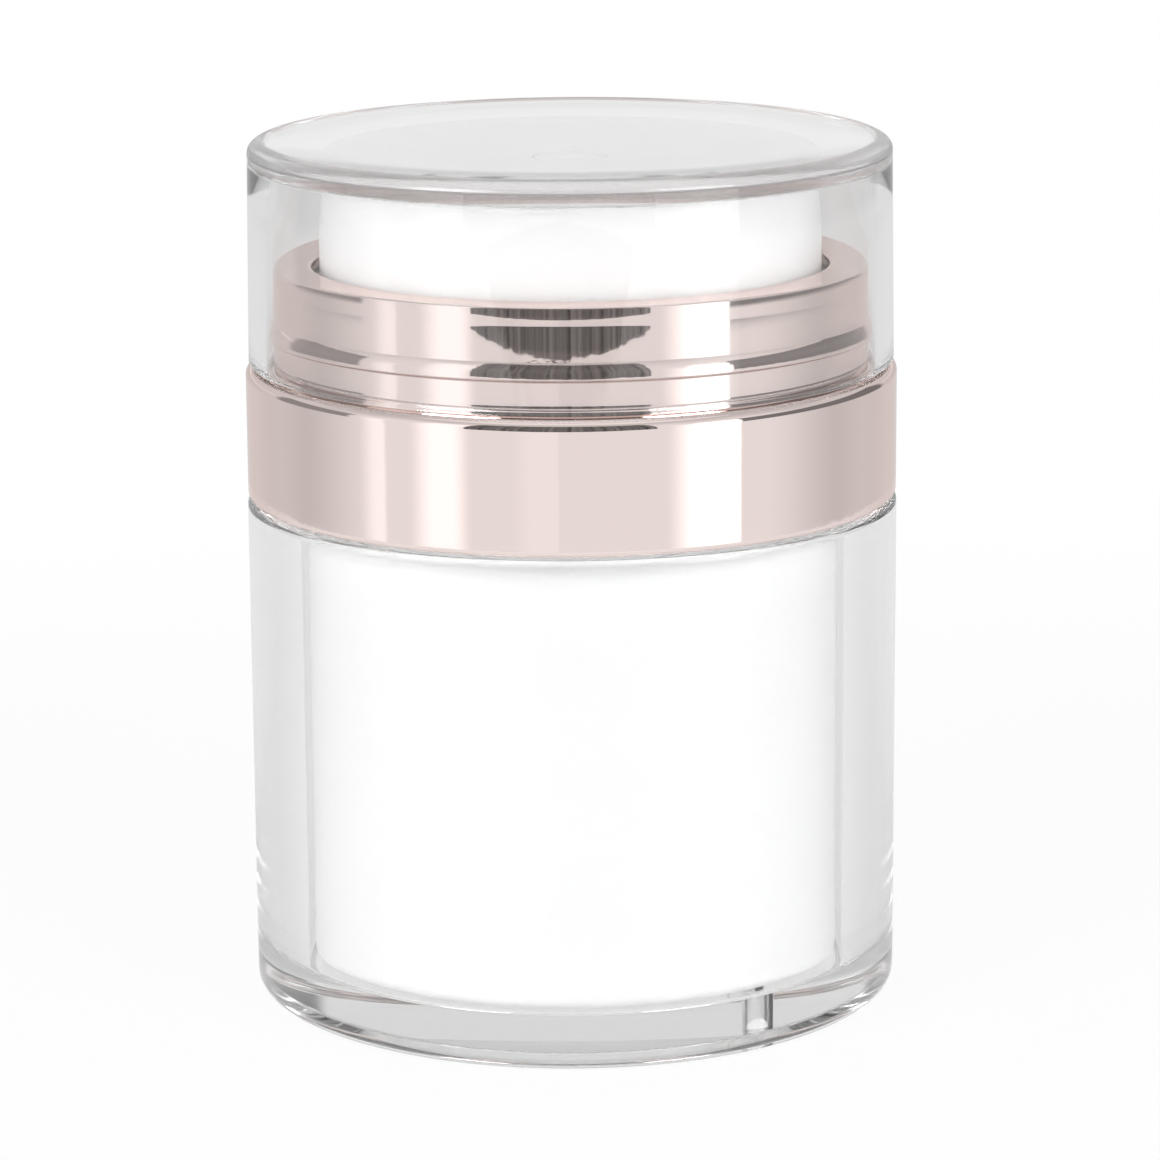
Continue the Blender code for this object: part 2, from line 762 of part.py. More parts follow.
def make_nozzle_insert():
    edge = OUTLET_POCKET - CLEARANCE
    return turned(
        "nozzle_insert",
        [
            (ORIFICE_RADIUS, nozzle_bottom, 0),
            (edge, nozzle_bottom, 0),
            (edge, dish_floor, BROKEN_EDGE),
            (2 * ORIFICE_RADIUS, dish_floor, 0),
            (ORIFICE_RADIUS, dish_floor - ORIFICE_RADIUS / 2, 0),
        ],
        NARROW_SEGMENTS,
        white_polypropylene("nozzle polypropylene"),
    )


def spring_points(foot, height):
    """The wire's centreline, from its foot up: close end turns, wider turns between, and straight ends."""
    wire = 2 * WIRE_RADIUS
    end_pitch = wire + END_TURN_GAP
    rise = height - wire
    pitch = (rise - 2 * end_pitch) / (SPRING_TURNS - 2)
    points = []
    for i in range(SPRING_TURNS * POINTS_PER_TURN + 1):
        turns = i / POINTS_PER_TURN
        close = min(turns, 1) + max(turns - SPRING_TURNS + 1, 0)
        angle = math.tau * turns
        lift = foot + WIRE_RADIUS + end_pitch * close + pitch * (turns - close)
        points.append(Vector((SPRING_RADIUS * math.cos(angle), SPRING_RADIUS * math.sin(angle), lift)))
    along = Vector((0, wire, 0))
    return [points[0] - along, *points, points[-1] + along]


def least_gap(points):
    """The smallest clear distance between turns of the wire, measured between its points."""
    apart = POINTS_PER_TURN // 2
    nearest = min(
        (points[i] - points[j]).length for i in range(len(points)) for j in range(i + apart, len(points))
    )
    return nearest - 2 * WIRE_RADIUS


def make_return_spring():
    """One unbroken wire between the housing's cap and the disc of the press head."""
    foot = housing_cap_top + CLEARANCE
    points = [point - Vector((0, 0, foot)) for point in spring_points(foot, core_underside - CLEARANCE - foot)]
    print(f"return_spring: least gap between turns {1000 * least_gap(points):.2f} mm")
    curve = bpy.data.curves.new("return_spring", "CURVE")
    curve.dimensions = "3D"
    curve.bevel_depth = WIRE_RADIUS
    curve.bevel_resolution = 1
    curve.use_fill_caps = True
    wire = curve.splines.new("POLY")
    wire.points.add(len(points) - 1)
    for target, point in zip(wire.points, points):
        target.co = (*point, 1)
    curve.materials.append(spring_steel("spring steel"))
    obj = bpy.data.objects.new("return_spring", curve)
    obj.location.z = foot
    bpy.context.scene.collection.objects.link(obj)
    return obj


def make_cap():
    return turned(
        "cap",
        [
            (0, cap_top, 0),
            (0, cap_ceiling, 0),
            (cap_inner - CAP_DRAFT, cap_ceiling, CAP_INNER_EDGE),
            (cap_inner, cap_bottom, 0),
            (cap_inner + CAP_WALL, cap_bottom, BROKEN_EDGE),
            (cap_inner + CAP_WALL - CAP_DRAFT, cap_top, CAP_EDGE),
        ],
        WIDE_SEGMENTS,
        clear_acrylic("cap acrylic"),
    )


def main():
    clear_scene()
    jar = body("jar", 0, make_outer_jar(), make_inner_cup())
    follower = body("follower", follower_bottom, make_follower_piston())
    seal = body("seal", gasket_top - GASKET_THICKNESS, make_neck_gasket())
    pump_unit = body(
        "pump_unit",
        band_bottom,
        make_collar(),
        make_neck_ring(),
        make_pump_plate(),
        make_housing_seal(),
        make_pump_housing(),
        make_housing_cap(),
        make_return_spring(),
    )
    valve = body("valve", valve_bottom, make_inlet_valve())
    press_head = body(
        "press_head",
        skirt_bottom,
        make_press_cover(),
        make_head_core(),
        make_outlet_valve(),
        make_nozzle_insert(),
        make_stem(),
        make_piston_seat(),
    )
    piston = body("piston", piston_bottom, make_pump_piston())
    lid = body("lid", cap_bottom, make_cap())
    for child, parent in (
        (follower, jar),
        (seal, jar),
        (pump_unit, seal),
        (valve, pump_unit),
        (press_head, pump_unit),
        (piston, press_head),
        (lid, pump_unit),
    ):
        child.parent = parent
        child.matrix_parent_inverse = Matrix.Translation((0, 0, -parent.location.z))


main()
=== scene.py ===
"""The looks of an airless cream jar, built round its packed model.

Every visible turned piece gets a finely turned surface in place of its faceted solid, with the fillets and
the thread that its moulding has. The finishes are the real ones: clear acrylic, rose gold plate on ABS,
white polypropylene, silicone and spring steel. A pale floor and a soft studio light them.
"""

import math

import bpy
import numpy as np
from bpy.props import FloatProperty, FloatVectorProperty, IntProperty, PointerProperty
from mathutils import Matrix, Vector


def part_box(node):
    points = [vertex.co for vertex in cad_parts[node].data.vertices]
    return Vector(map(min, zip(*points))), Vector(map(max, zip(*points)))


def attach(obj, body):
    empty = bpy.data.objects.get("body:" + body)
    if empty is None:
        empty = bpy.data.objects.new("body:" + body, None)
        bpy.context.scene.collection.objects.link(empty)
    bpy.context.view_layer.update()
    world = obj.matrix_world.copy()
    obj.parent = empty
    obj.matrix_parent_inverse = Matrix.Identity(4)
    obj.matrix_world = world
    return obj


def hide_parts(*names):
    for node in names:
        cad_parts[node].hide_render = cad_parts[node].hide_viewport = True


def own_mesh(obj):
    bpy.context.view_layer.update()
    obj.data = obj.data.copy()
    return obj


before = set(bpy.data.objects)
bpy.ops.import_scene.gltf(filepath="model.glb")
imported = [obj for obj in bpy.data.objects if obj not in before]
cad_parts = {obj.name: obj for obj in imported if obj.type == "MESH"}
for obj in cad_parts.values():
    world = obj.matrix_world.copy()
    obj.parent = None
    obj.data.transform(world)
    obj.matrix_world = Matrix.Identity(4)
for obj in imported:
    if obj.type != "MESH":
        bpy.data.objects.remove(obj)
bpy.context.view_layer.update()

bl_info = {
    "name": "Airless Cream Jar",
    "version": (1, 0, 0),
    "blender": (4, 5, 0),
    "location": "View3D > Sidebar > Cream Jar",
    "description": "Turns, finishes and lights an airless cream jar with a press-top pump",
    "category": "Object",
}

MM = 0.001
SMOOTH_BELOW = math.radians(28)
# Lengths that differ by less than this are the same
SAME = 1e-6
# Roundings of moulded edges
CRISP, EDGE, SOFT = 0.15 * MM, 0.2 * MM, 0.3 * MM
# Longest run of an outline along a thread, and elsewhere
THREAD_RUN, PLAIN_RUN = 0.12 * MM, 6 * MM


def linear(code):
    """The linear colour of an sRGB hex code such as "#dcc3bb"."""
    channels = [int(code[i : i + 2], 16) / 255 for i in (1, 3, 5)]
    return tuple(c / 12.92 if c <= 0.04045 else ((c + 0.055) / 1.055) ** 2.4 for c in channels)


def size(name, description, millimetres):
    """A length property, given in millimetres and kept in metres."""
    length = millimetres * MM
    return FloatProperty(name=name, description=description, default=length, unit="LENGTH", precision=6)


def colour(name, description, code):
    """A colour property, given as an sRGB hex code and kept linear."""
    return FloatVectorProperty(
        name=name, description=description, default=linear(code), subtype="COLOR", min=0, max=1
    )


def amount(name, description, value):
    """A plain number between nothing and a few, such as a share or a brightness."""
    return FloatProperty(
        name=name, description=description, default=value, min=0, soft_max=2, subtype="FACTOR"
    )


def angle(name, description, degrees):
    """An angle property, given in degrees and kept in radians."""
    return FloatProperty(name=name, description=description, default=math.radians(degrees), subtype="ANGLE")


def radius(node):
    """The outer radius of a turned CAD node."""
    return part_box(node)[1].x


def foot(node):
    """The lowest height of a CAD node."""
    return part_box(node)[0].z


def top(node):
    """The highest height of a CAD node."""
    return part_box(node)[1].z


class JarSizes(bpy.types.PropertyGroup):
    """The clear outer jar and the white cup in it."""

    wall: size("Jar wall", "Thickness of the clear wall", 4.9)
    base: size("Jar base", "From the foot to the floor of the bore", 4.2)
    neck: size("Neck wall", "From the bore to the outside of the neck", 1.4)
    foot_width: size("Foot width", "Width of the ring that the jar stands on", 4.3)
    foot_recess: size("Foot recess", "Height of the hollow inside that ring", 0.8)
    foot_fillet: size("Foot fillet", "Rounding at the outside of the foot", 1.3)
    shoulder_fillet: size("Shoulder fillet", "Rounding under the collar", 0.6)
    vent_radius: size("Vent radius", "Radius of the air hole through the base", 1.5)
    vent_distance: size("Vent distance", "From the axis to the air hole", 22.9)
    vent_bearing: angle("Vent bearing", "From the front towards the right", 41)
    pitch: size("Thread pitch", "Rise of the neck's thread in one turn", 3.0)
    thread: size("Thread height", "How far the thread stands out of the neck", 0.4)
    thread_slope: size("Thread slope", "Height over which the thread's flank falls", 0.45)
    thread_start: size("Thread start", "From the shoulder up to the thread", 1.0)
    thread_stop: size("Thread stop", "From the thread up to the rim", 0.7)
    thread_fade: size("Thread fade", "Height over which the thread fades in and out", 0.5)
    collar_gap: size("Collar gap", "Air between the shoulder and the collar", 0.3)
    cup_gap: size("Cup gap", "Air between the cup and the jar's bore", 0.7)
    cup_wall: size("Cup wall", "Thickness of the cup's wall", 1.2)
    cup_floor: size("Cup floor", "Thickness of the cup's floor", 1.3)
    cup_flange: size("Cup flange", "Thickness of the flange on the neck", 1.0)
    cup_air_hole: size("Cup air hole", "Radius of the hole in the cup's floor", 1.5)


class CollarSizes(bpy.types.PropertyGroup):
    """The plated collar and the threaded ring in it."""

    wall: size("Collar wall", "Thickness of the band's wall", 1.3)
    ledge_width: size("Ledge width", "Step from the band in to the ring", 2.7)
    ring_height: size("Ring height", "From the ledge to the top of the lip", 9.8)
    ring_wall: size("Ring wall", "Thickness of the ring's wall", 1.2)
    lip_width: size("Lip width", "Reach of the lip over the press head", 2.6)
    lip_fillet: size("Lip fillet", "Rounding at the outside of the lip", 0.22)
    band_fillet: size("Band fillet", "Rounding at the top of the band", 0.9)
    hem_fillet: size("Hem fillet", "Rounding at the foot of the band", 0.5)
    bead: size("Bead", "How far the snap bead stands out", 0.4)
    bead_height: size("Bead height", "Height of the snap bead", 1.75)
    bead_rise: size("Bead rise", "From the ledge to the snap bead", 3.1)
    bead_underside: size("Bead underside", "Height of the bead's short lower side", 0.35)
    lean: size("Ring lean", "How far the ring's wall curves in between bead and lip", 0.06)
    lean_stop: size("Lean stop", "Height of the nearly upright strip above that curve", 0.6)
    flare: size("Flare", "How far that strip opens out again", 0.006)
    lip_lean: size("Lip lean", "How far the wall curves in once more up to the lip", 0.03)
    lip_lean_height: size("Lip lean height", "Height of that second curve", 0.9)
    neck_ring_wall: size("Neck ring wall", "Thickness of the threaded ring's wall", 1.05)
    neck_ring_flange: size("Neck ring flange", "Thickness of its inward flange", 1.0)
    neck_ring_reach: size("Neck ring reach", "Reach of that flange over the pump plate", 2.3)
    neck_ring_slope: size("Neck ring thread slope", "Height over which its thread's flank falls", 0.4)
    neck_ring_start: size("Neck ring thread start", "From its foot up to the thread", 0.4)
    neck_ring_stop: size("Neck ring thread stop", "From the thread up to its flange", 0.6)
    press_gap: size("Press gap", "Air between the band and the neck ring pressed into it", 0.05)


class HeadSizes(bpy.types.PropertyGroup):
    """The press head and the nozzle in its dish."""

    gap: size("Head gap", "Air between the press head and the collar's lip", 0.65)
    wall: size("Head wall", "Thickness of the press head's skirt", 1.3)
    top: size("Head top", "Thickness of the press head's top", 1.2)
    dish: size("Dish", "Depth of the hollow in the top", 0.8)
    fillet: size("Head fillet", "Rounding at the top edge", 0.9)
    flange: size("Head flange", "Height of the flange that stops under the collar's lip", 1.5)
    flange_gap: size("Flange gap", "Air between that flange and the lip", 0.3)
    pocket: size("Nozzle pocket", "Radius of the hole that the nozzle fills", 3.6)
    orifice: size("Orifice", "Radius of the nozzle's hole", 0.9)


class CapSizes(bpy.types.PropertyGroup):
    """The clear cap."""

    wall: size("Cap wall", "Thickness of the cap's skirt", 1.7)
    top: size("Cap top", "Thickness of the cap's disc", 2.4)
    draft: size("Cap draft", "How much narrower the cap is at its top", 0.28)
    edge: size("Cap edge", "Width of the rounded top edge", 1.7)
    edge_drop: size("Edge drop", "Height of the rounded top edge", 1.05)
    inner_edge: size("Inner edge", "Rounding inside the top edge", 0.15)
    seam: size("Seam", "Depth of the mould's fine seam under the top edge", 0.05)
    seam_height: size("Seam height", "Height of that seam", 0.16)
    edge_blend: size("Edge blend", "Height over which the buffed edge turns clear", 0.2)


class SpringSizes(bpy.types.PropertyGroup):
    """The return spring under the press head."""

    wire: size("Wire radius", "Radius of the spring's wire", 0.4)
    coil: size("Coil radius", "From the axis to the middle of the wire", 5.6)
    turns: IntProperty(name="Turns", description="Turns of the wire, with the closed end turns", default=6)
    end_gap: size("End gap", "Gap between the closely wound end turns", 0.45)


class Finishes(bpy.types.PropertyGroup):
    """Colours of the pieces, as the eye sees them in plain light."""

    acrylic: colour("Acrylic", "Clear acrylic", "#fcfcfc")
    edge_satin: amount("Edge satin", "Roughness of the cap's buffed top edge", 0.2)
    edge_haze: amount("Edge haze", "Share of the light that this edge scatters back", 0.05)
    vent_satin: amount("Vent satin", "Roughness of the air hole's wall", 0.18)
    vent_haze: amount("Vent haze", "Share of the light that this wall scatters back", 0.1)
    # Painted shade: this grey, put into the clear acrylic at the seam's height, darkens what is seen through
    # it and draws the dark line under the cap's rounded top edge
    seam: colour("Seam", "The cap's fine seam, which scatters light", "#a9a6a7")
    plate: colour("Rose gold plate", "Plated ABS, pink more than yellow", "#f1e2de")
    plate_edge: colour("Plate at a slant", "The plate where it is seen at a slant", "#f8efec")
    white: colour("White polypropylene", "Press head, cup and closure", "#f7f7f7")
    natural: colour("Natural polyethylene", "Pistons, left without pigment", "#eceeea")
    silicone: colour("Silicone", "Valves and seals", "#e6e8e6")
    foam: colour("Gasket foam", "Expanded polyethylene under the pump plate", "#f1f0ea")
    steel: colour("Spring steel", "Stainless wire", "#cfcfd2")


class Studio(bpy.types.PropertyGroup):
    """The camera, the floor and the light."""

    lens: FloatProperty(name="Lens", description="Focal length in millimetres", default=143.83)
    camera_distance: size("Camera distance", "From the jar's axis, towards the front", 431.69)
    camera_height: size("Camera height", "Above the floor", 139.79)
    camera_pitch: angle("Camera pitch", "How far the camera looks down", 13.155)
    camera_roll: angle("Camera roll", "Lean of the camera", -0.418)
    camera_shift: FloatProperty(name="Camera shift", description="Sideways, of the frame", default=0.0062)
    floor_radius: size("Floor radius", "Round pale plate that the jar stands on", 240)
    air_gap: size("Air gap", "Air left under the polished foot, without which it would look wet", 0.03)
    floor: colour("Floor", "Pale matt floor", "#d8d8d8")
    near_share: amount("Near share", "How much white backdrop the camera sees on the floor", 0.93)
    backdrop_share: amount("Backdrop share", "How much of it metal and glass show past the floor", 0.05)
    floor_share: amount("Floor share", "How much of it they show on the floor", 0.28)
    # Painted light: a brighter share of white backdrop on the floor under the jar, a pool of light that
    # metal and glass see there
    painted_pool_share: amount("Gathered share", "The same where the jar's clear base gathers light", 0.8)
    surround: amount("Surround", "Brightness of the plain studio walls", 0.59)
    opening: amount("Opening", "Brightness of the dim room in front, past the camera", 0.09)


GROUPS = {
    "jar_sizes": JarSizes,
    "collar_sizes": CollarSizes,
    "head_sizes": HeadSizes,
    "cap_sizes": CapSizes,
    "spring_sizes": SpringSizes,
    "finishes": Finishes,
    "studio": Studio,
}

# The walls and soft boxes round the jar. A bearing counts from the front to the right, and a height from
# the horizon up, both in degrees. Each card has a middle and a size, then how far it fades out on the left,
# on the right, and above and below, then its brightness.
STUDIO_CARDS = [
    ("front walls", (0, -10), (136, 60), (42, 42, 42), 0.89),
    ("back wall", (180, -20), (110, 40), (22, 22, 14), 0.67),
    ("back wall, lower strip", (180, -11.5), (60, 6), (20, 20, 0.8), 0.74),
    ("back wall, pale strip", (180, 7.5), (130, 1.6), (25, 25, 0.8), 0.95),
    ("back wall, upper part", (180, 24), (130, 30), (25, 25, 0.6), 0.68),
    ("ceiling", (0, 85), (360, 40), (6, 6, 6), 0.9),
    ("right side, upper part", (98, 8), (76, 26), (4, 6, 3), 0.16),
    ("left side, upper part", (-103, 8), (36, 26), (6, 3, 3), 0.26),
    ("right glow", (50, -4), (10, 26), (13, 5, 14), 1.5),
    ("right soft box", (54, -2), (12, 32), (6, 1.5, 12), 1.95),
    ("left glow", (-45.5, 4), (6, 44), (11, 8, 14), 1.32),
    ("left strip light", (-70.2, -6), (2, 30), (9, 2.2, 12), 1.15),
    ("pale seam", (-9, -15), (8, 30), (9, 0.6, 4), 0.97),
]

# The dim opening in front, in degrees: its bearings, its top, and then the lowest point of its curved lower
# edge, how far that edge rises, how uneven it is and how soft
OPENING_MIDDLE, OPENING_HALF_WIDTH = -4, 33
OPENING_TOP = 42
OPENING_LOWEST, OPENING_RISE, OPENING_UNEVEN, OPENING_BLUR = -10.0, 3.6, 0.7, 0.15
# Grains of the noise along its edge and in the room, for each radian of bearing
EDGE_GRAINS, ROOM_GRAINS = 12.0, 28.0

# Large soft lamps: name, bearing and height in degrees, distance and width in metres, and watts. Metal
# doesn't mirror them, so that they light the white pieces and leave the plate's reflections alone.
SOFT_LAMPS = [
    ("left key", -43, 16, 1.2, 0.6, 14.6),
    ("right key", 43, 16, 1.2, 0.6, 14.2),
]
LAMP_AIM = (0, 0, 40 * MM)
WHITE = (1, 1, 1, 1)
# A ray that has crossed more clear faces than this came to the plate through the cap and left through it
CAP_CROSSINGS = 2.5


def unit(vectors):
    """Each vector divided by its length."""
    return vectors / np.maximum(np.linalg.norm(vectors, axis=-1, keepdims=True), 1e-12)


def sharp(r, z):
    """Corners along a curve, with no fillet."""
    return np.column_stack([r, z, np.zeros(len(z))])


def rounded(corners, facets=10, support=0.06 * MM):
    """The closed outline through (radius, height, fillet) corners.

    With a and b the unit directions from a corner to its neighbours and h half the angle between them, a
    fillet f has its centre f / sin h along their bisector and its ends f / tan h along each side. The points
    between swing round the centre by equal angles. One more point lies just past each end, so that shading
    stays flat beyond.
    """
    corners = np.array(corners, float)
    place, fillet = corners[:, None, :2], corners[:, None, 2:]
    before = unit(np.roll(place, 1, axis=0) - place)
    after = unit(np.roll(place, -1, axis=0) - place)
    half = np.arccos(np.clip((before * after).sum(-1, keepdims=True), -1, 1)) / 2
    half = np.clip(half, 1e-4, math.pi / 2 - 1e-4)
    centre = place + unit(before + after) * fillet / np.sin(half)
    start = place + before * fillet / np.tan(half)
    end = place + after * fillet / np.tan(half)
    sweep = math.pi - 2 * half
    step = np.linspace(0, 1, facets + 1)[None, :, None]
    swing = np.sin((1 - step) * sweep) * (start - centre) + np.sin(step * sweep) * (end - centre)
    arc = centre + swing / np.sin(sweep)
    points = np.concatenate([start + before * support, arc, end + after * support], axis=1)
    wanted = np.broadcast_to(fillet[..., 0] > 0, points.shape[:2]).copy()
    wanted[:, 1] = True
    return points[wanted]


def divided(outline, longest):
    """The closed outline with points added evenly along each run, so that none is longer than that.

    The longest is one length, or one for each run.
    """
    run = np.roll(outline, -1, axis=0) - outline
    count = np.maximum(np.ceil(np.linalg.norm(run, axis=1) / longest).astype(int), 1)
    first = np.repeat(np.cumsum(count) - count, count)
    share = (np.arange(count.sum()) - first) / np.repeat(count, count)
    return np.repeat(outline, count, axis=0) + share[:, None] * np.repeat(run, count, axis=0)


def threaded(outline, wall):
    """The closed outline divided finely along the wall that carries a thread, and coarsely elsewhere."""
    on_wall = np.abs(outline[:, 0] - wall) < SAME
    return divided(outline, np.where(on_wall & np.roll(on_wall, -1), THREAD_RUN, PLAIN_RUN))


def helix_ridge(t, z, start, pitch, slope):
    """1 on the ridge of a right-hand helix and 0 off it.

    With away the height from a point to the helix's nearest turn, it is 1.5 - away / slope, held to 0 and 1.
    """
    turn = (z - start) / pitch - t / math.tau
    away = np.abs(turn - np.round(turn)) * pitch
    return np.clip(1.5 - away / slope, 0, 1)


def faded(z, low, high, over):
    """1 between two heights, falling to 0 in even steps over a height inside them."""
    return np.clip((z - low) / over, 0, 1) * np.clip((high - z) / over, 0, 1)


def grid_faces(index, closed_across):
    """Quads between neighbouring rows and columns of an index grid whose rows close on themselves.

    A quad with one corner twice, at a pole, becomes a triangle.
    """
    beside = np.roll(index, -1, axis=0)
    columns = np.arange(index.shape[1] if closed_across else index.shape[1] - 1)
    following = (columns + 1) % index.shape[1]
    quads = np.stack(
        [index[:, columns], beside[:, columns], beside[:, following], index[:, following]], axis=-1
    ).reshape(-1, 4)
    at_start, at_end = quads[:, 0] == quads[:, 1], quads[:, 2] == quads[:, 3]
    return [
        *quads[~at_start & ~at_end].tolist(),
        *quads[at_start & ~at_end][:, 1:].tolist(),
        *quads[at_end & ~at_start][:, :3].tolist(),
    ]


def piece(name, points, faces):
    """A shaded mesh object at the origin, smooth but for its sharp corners."""
    mesh = bpy.data.meshes.new(name)
    mesh.from_pydata(points.tolist(), [], faces)
    mesh.update()
    mesh.shade_smooth()
    mesh.set_sharp_from_angle(angle=SMOOTH_BELOW)
    made = bpy.data.objects.new(name, mesh)
    bpy.context.scene.collection.objects.link(made)
    return made


def turned(name, outline, segments=256, relief=None):
    """The surface of revolution of a closed outline about the jar's axis.

    At turn t and outline point (r, z) the point is (r cos t, r sin t, z). A relief is a function of t, r and
    z that gives what is added to r. An outline that meets the axis closes there in one vertex.
    """
    r, z = outline.T
    if np.sum(r * np.roll(z, -1) - np.roll(r, -1) * z) < 0:
        r, z = r[::-1], z[::-1]
    on_axis = r < 1e-9
    if on_axis.any():
        shift = -int(np.flatnonzero(on_axis & ~np.roll(on_axis, 1))[0]) - 1
        r, z, on_axis = (np.roll(values, shift) for values in (r, z, on_axis))
    t = np.arange(segments)[:, None] * math.tau / segments
    spread = r[None, :] + (relief(t, r[None, :], z[None, :]) if relief else 0)
    points = np.stack(
        [spread * np.cos(t), spread * np.sin(t), np.broadcast_to(z, (segments, len(z)))], axis=-1
    ).reshape(-1, 3)
    index = np.arange(len(points)).reshape(segments, len(z))
    index[:, on_axis] = index[0, on_axis]
    used, packed = np.unique(index, return_inverse=True)
    faces = grid_faces(packed.reshape(index.shape), closed_across=not on_axis.any())
    return piece(name, points[used], faces)


def plug(node, inputs):
    """Gives a shader node's inputs a value each, or a link from a socket or a node's first output."""
    for socket, value in inputs.items():
        if isinstance(value, bpy.types.Node):
            value = value.outputs[0]
        if isinstance(value, bpy.types.NodeSocket):
            node.id_data.links.new(value, node.inputs[socket])
        else:
            node.inputs[socket].default_value = value
    return node


def add(tree, kind, inputs=None, **settings):
    """Adds a shader node with its own settings, and plugs in its inputs."""
    node = tree.nodes.new("ShaderNode" + kind)
    for name, value in settings.items():
        setattr(node, name, value)
    return plug(node, inputs or {})


def finish(name, inputs):
    """A new material, its node tree, and its Principled shader with the given inputs."""
    material = bpy.data.materials.new(name)
    material.use_nodes = True
    tree = material.node_tree
    return material, tree, plug(tree.nodes["Principled BSDF"], inputs)


def opaque(rgb):
    """A colour with full alpha."""
    return (*rgb, 1.0)


def dress(made, body, material, slot, *nodes):
    """Gives a new piece its material, stands it for CAD nodes, and lets it ride on their body. The slot that
    it is handed is not used.
    """
    made.data.materials.append(material)
    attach(made, body)
    if nodes:
        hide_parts(*nodes)
    return made


def surface_noise(tree, millimetres, detail=2.0, stretch=(1, 1, 1)):
    """Noise on Object coordinates whose grains are about that many millimetres across."""
    place = add(tree, "TexCoord").outputs["Object"]
    scale = [1 / (millimetres * MM) * share for share in stretch]
    mapped = add(tree, "Mapping", {"Vector": place, "Scale": scale})
    return add(tree, "TexNoise", {"Vector": mapped, "Scale": 1.0, "Detail": detail})


def vary_roughness(tree, noise, low, high):
    """Lets a finish's roughness follow a noise, from low to high."""
    roughness = add(tree, "MapRange", {"Value": noise, "To Min": low, "To Max": high})
    plug(tree.nodes["Principled BSDF"], {"Roughness": roughness})


def height_share(tree, low, high, blend):
    """1 between two heights of a piece, falling to 0 over a blend outside them."""
    place = add(tree, "TexCoord").outputs["Object"]
    z = add(tree, "SeparateXYZ", {"Vector": place}).outputs["Z"]
    rising = add(tree, "MapRange", {"Value": z, "From Min": low - blend, "From Max": low})
    falling = add(tree, "MapRange", {"Value": z, "From Min": high + blend, "From Max": high})
    return add(tree, "Math", {0: rising, 1: falling}, operation="MULTIPLY")


def away_from(tree, x, y):
    """How far a point of a piece is from the upright line through a place."""
    place = add(tree, "TexCoord").outputs["Object"]
    flat = add(tree, "VectorMath", {0: place, 1: (1, 1, 0)}, operation="MULTIPLY")
    return add(tree, "VectorMath", {0: flat, 1: (x, y, 0)}, operation="DISTANCE").outputs["Value"]


def make_dull(tree, share, satin, haze):
    """Turns a share of a clear piece's surface from polished to satin, which scatters some light back."""
    roughness = add(tree, "MapRange", {"Value": share, "To Min": 0.0, "To Max": satin})
    clear = add(tree, "MapRange", {"Value": share, "To Min": 1.0, "To Max": 1.0 - haze})
    plug(tree.nodes["Principled BSDF"], {"Roughness": roughness, "Transmission Weight": clear})


def clear_acrylic(name):
    """Injection-moulded acrylic (PMMA): water-clear and glossy, with a faint flow wave from the mould."""
    rgb = opaque(bpy.context.scene.finishes.acrylic)
    clear = {"Base Color": rgb, "IOR": 1.49, "Transmission Weight": 1.0, "Roughness": 0.0}
    material, tree, shader = finish(name, clear)
    wave = {"Height": surface_noise(tree, 14, 0), "Distance": 0.02 * MM, "Strength": 0.5}
    plug(shader, {"Normal": add(tree, "Bump", wave)})
    return material


def rose_gold_plate(uneven_from, uneven_to):
    """Vacuum-plated ABS: a mirror with the faint orange peel of the lacquer under it."""
    look = bpy.context.scene.finishes
    mirror = {
        "Base Color": opaque(look.plate),
        "Specular Tint": opaque(look.plate_edge),
        "Metallic": 1.0,
        "Roughness": 0.03,
    }
    material, tree, shader = finish("rose gold plate on ABS", mirror)
    vary_roughness(tree, surface_noise(tree, 5, 3), 0.015, 0.045)
    fine = surface_noise(tree, 1.6, 2)
    peel = add(tree, "Bump", {"Height": fine, "Distance": 0.004 * MM, "Strength": 0.6})
    # The snap bead comes out of the mould less even than the rest
    ripple = {
        "Height": surface_noise(tree, 2.2, 3, stretch=(1, 1, 2)),
        "Distance": 0.015 * MM,
        "Strength": height_share(tree, uneven_from, uneven_to, 0.3 * MM),
        "Normal": peel,
    }
    plug(shader, {"Normal": add(tree, "Bump", ripple)})
    return material


def white_polypropylene():
    """Injection-moulded polypropylene: white, waxy and softly glossy, with a fine grain."""
    rgb = opaque(bpy.context.scene.finishes.white)
    waxy = {"Base Color": rgb, "Roughness": 0.3, "IOR": 1.49}
    material, tree, shader = finish("white polypropylene", waxy)
    vary_roughness(tree, surface_noise(tree, 4, 2), 0.27, 0.33)
    grain = {"Height": surface_noise(tree, 0.5, 2), "Distance": 0.004 * MM, "Strength": 0.5}
    plug(shader, {"Normal": add(tree, "Bump", grain)})
    return material


def soft_plastic(name, rgb, roughness, grain_millimetres):
    """A dull moulded plastic or rubber with a fine grain."""
    material, tree, shader = finish(name, {"Base Color": opaque(rgb), "Roughness": roughness})
    grain = surface_noise(tree, grain_millimetres, 3)
    vary_roughness(tree, grain, roughness - 0.08, roughness + 0.08)
    bump = add(tree, "Bump", {"Height": grain, "Distance": 0.02 * MM, "Strength": 0.5})
    plug(shader, {"Normal": bump})
    return material


def spring_steel():
    """Drawn stainless wire: bright, with fine lines along it from the die."""
    rgb = opaque(bpy.context.scene.finishes.steel)
    bright = {"Base Color": rgb, "Metallic": 1.0, "Roughness": 0.22}
    material, tree, shader = finish("drawn spring steel", bright)
    vary_roughness(tree, surface_noise(tree, 0.12, 2, stretch=(1, 1, 6)), 0.16, 0.32)
    return material


class MixWhitePlastic(bpy.types.Operator):
    """The white polypropylene that several pieces share"""

    bl_idname = "cream_jar.white_plastic"
    bl_label = "White plastic"

    def execute(self, context):
        white_polypropylene()
        return {"FINISHED"}


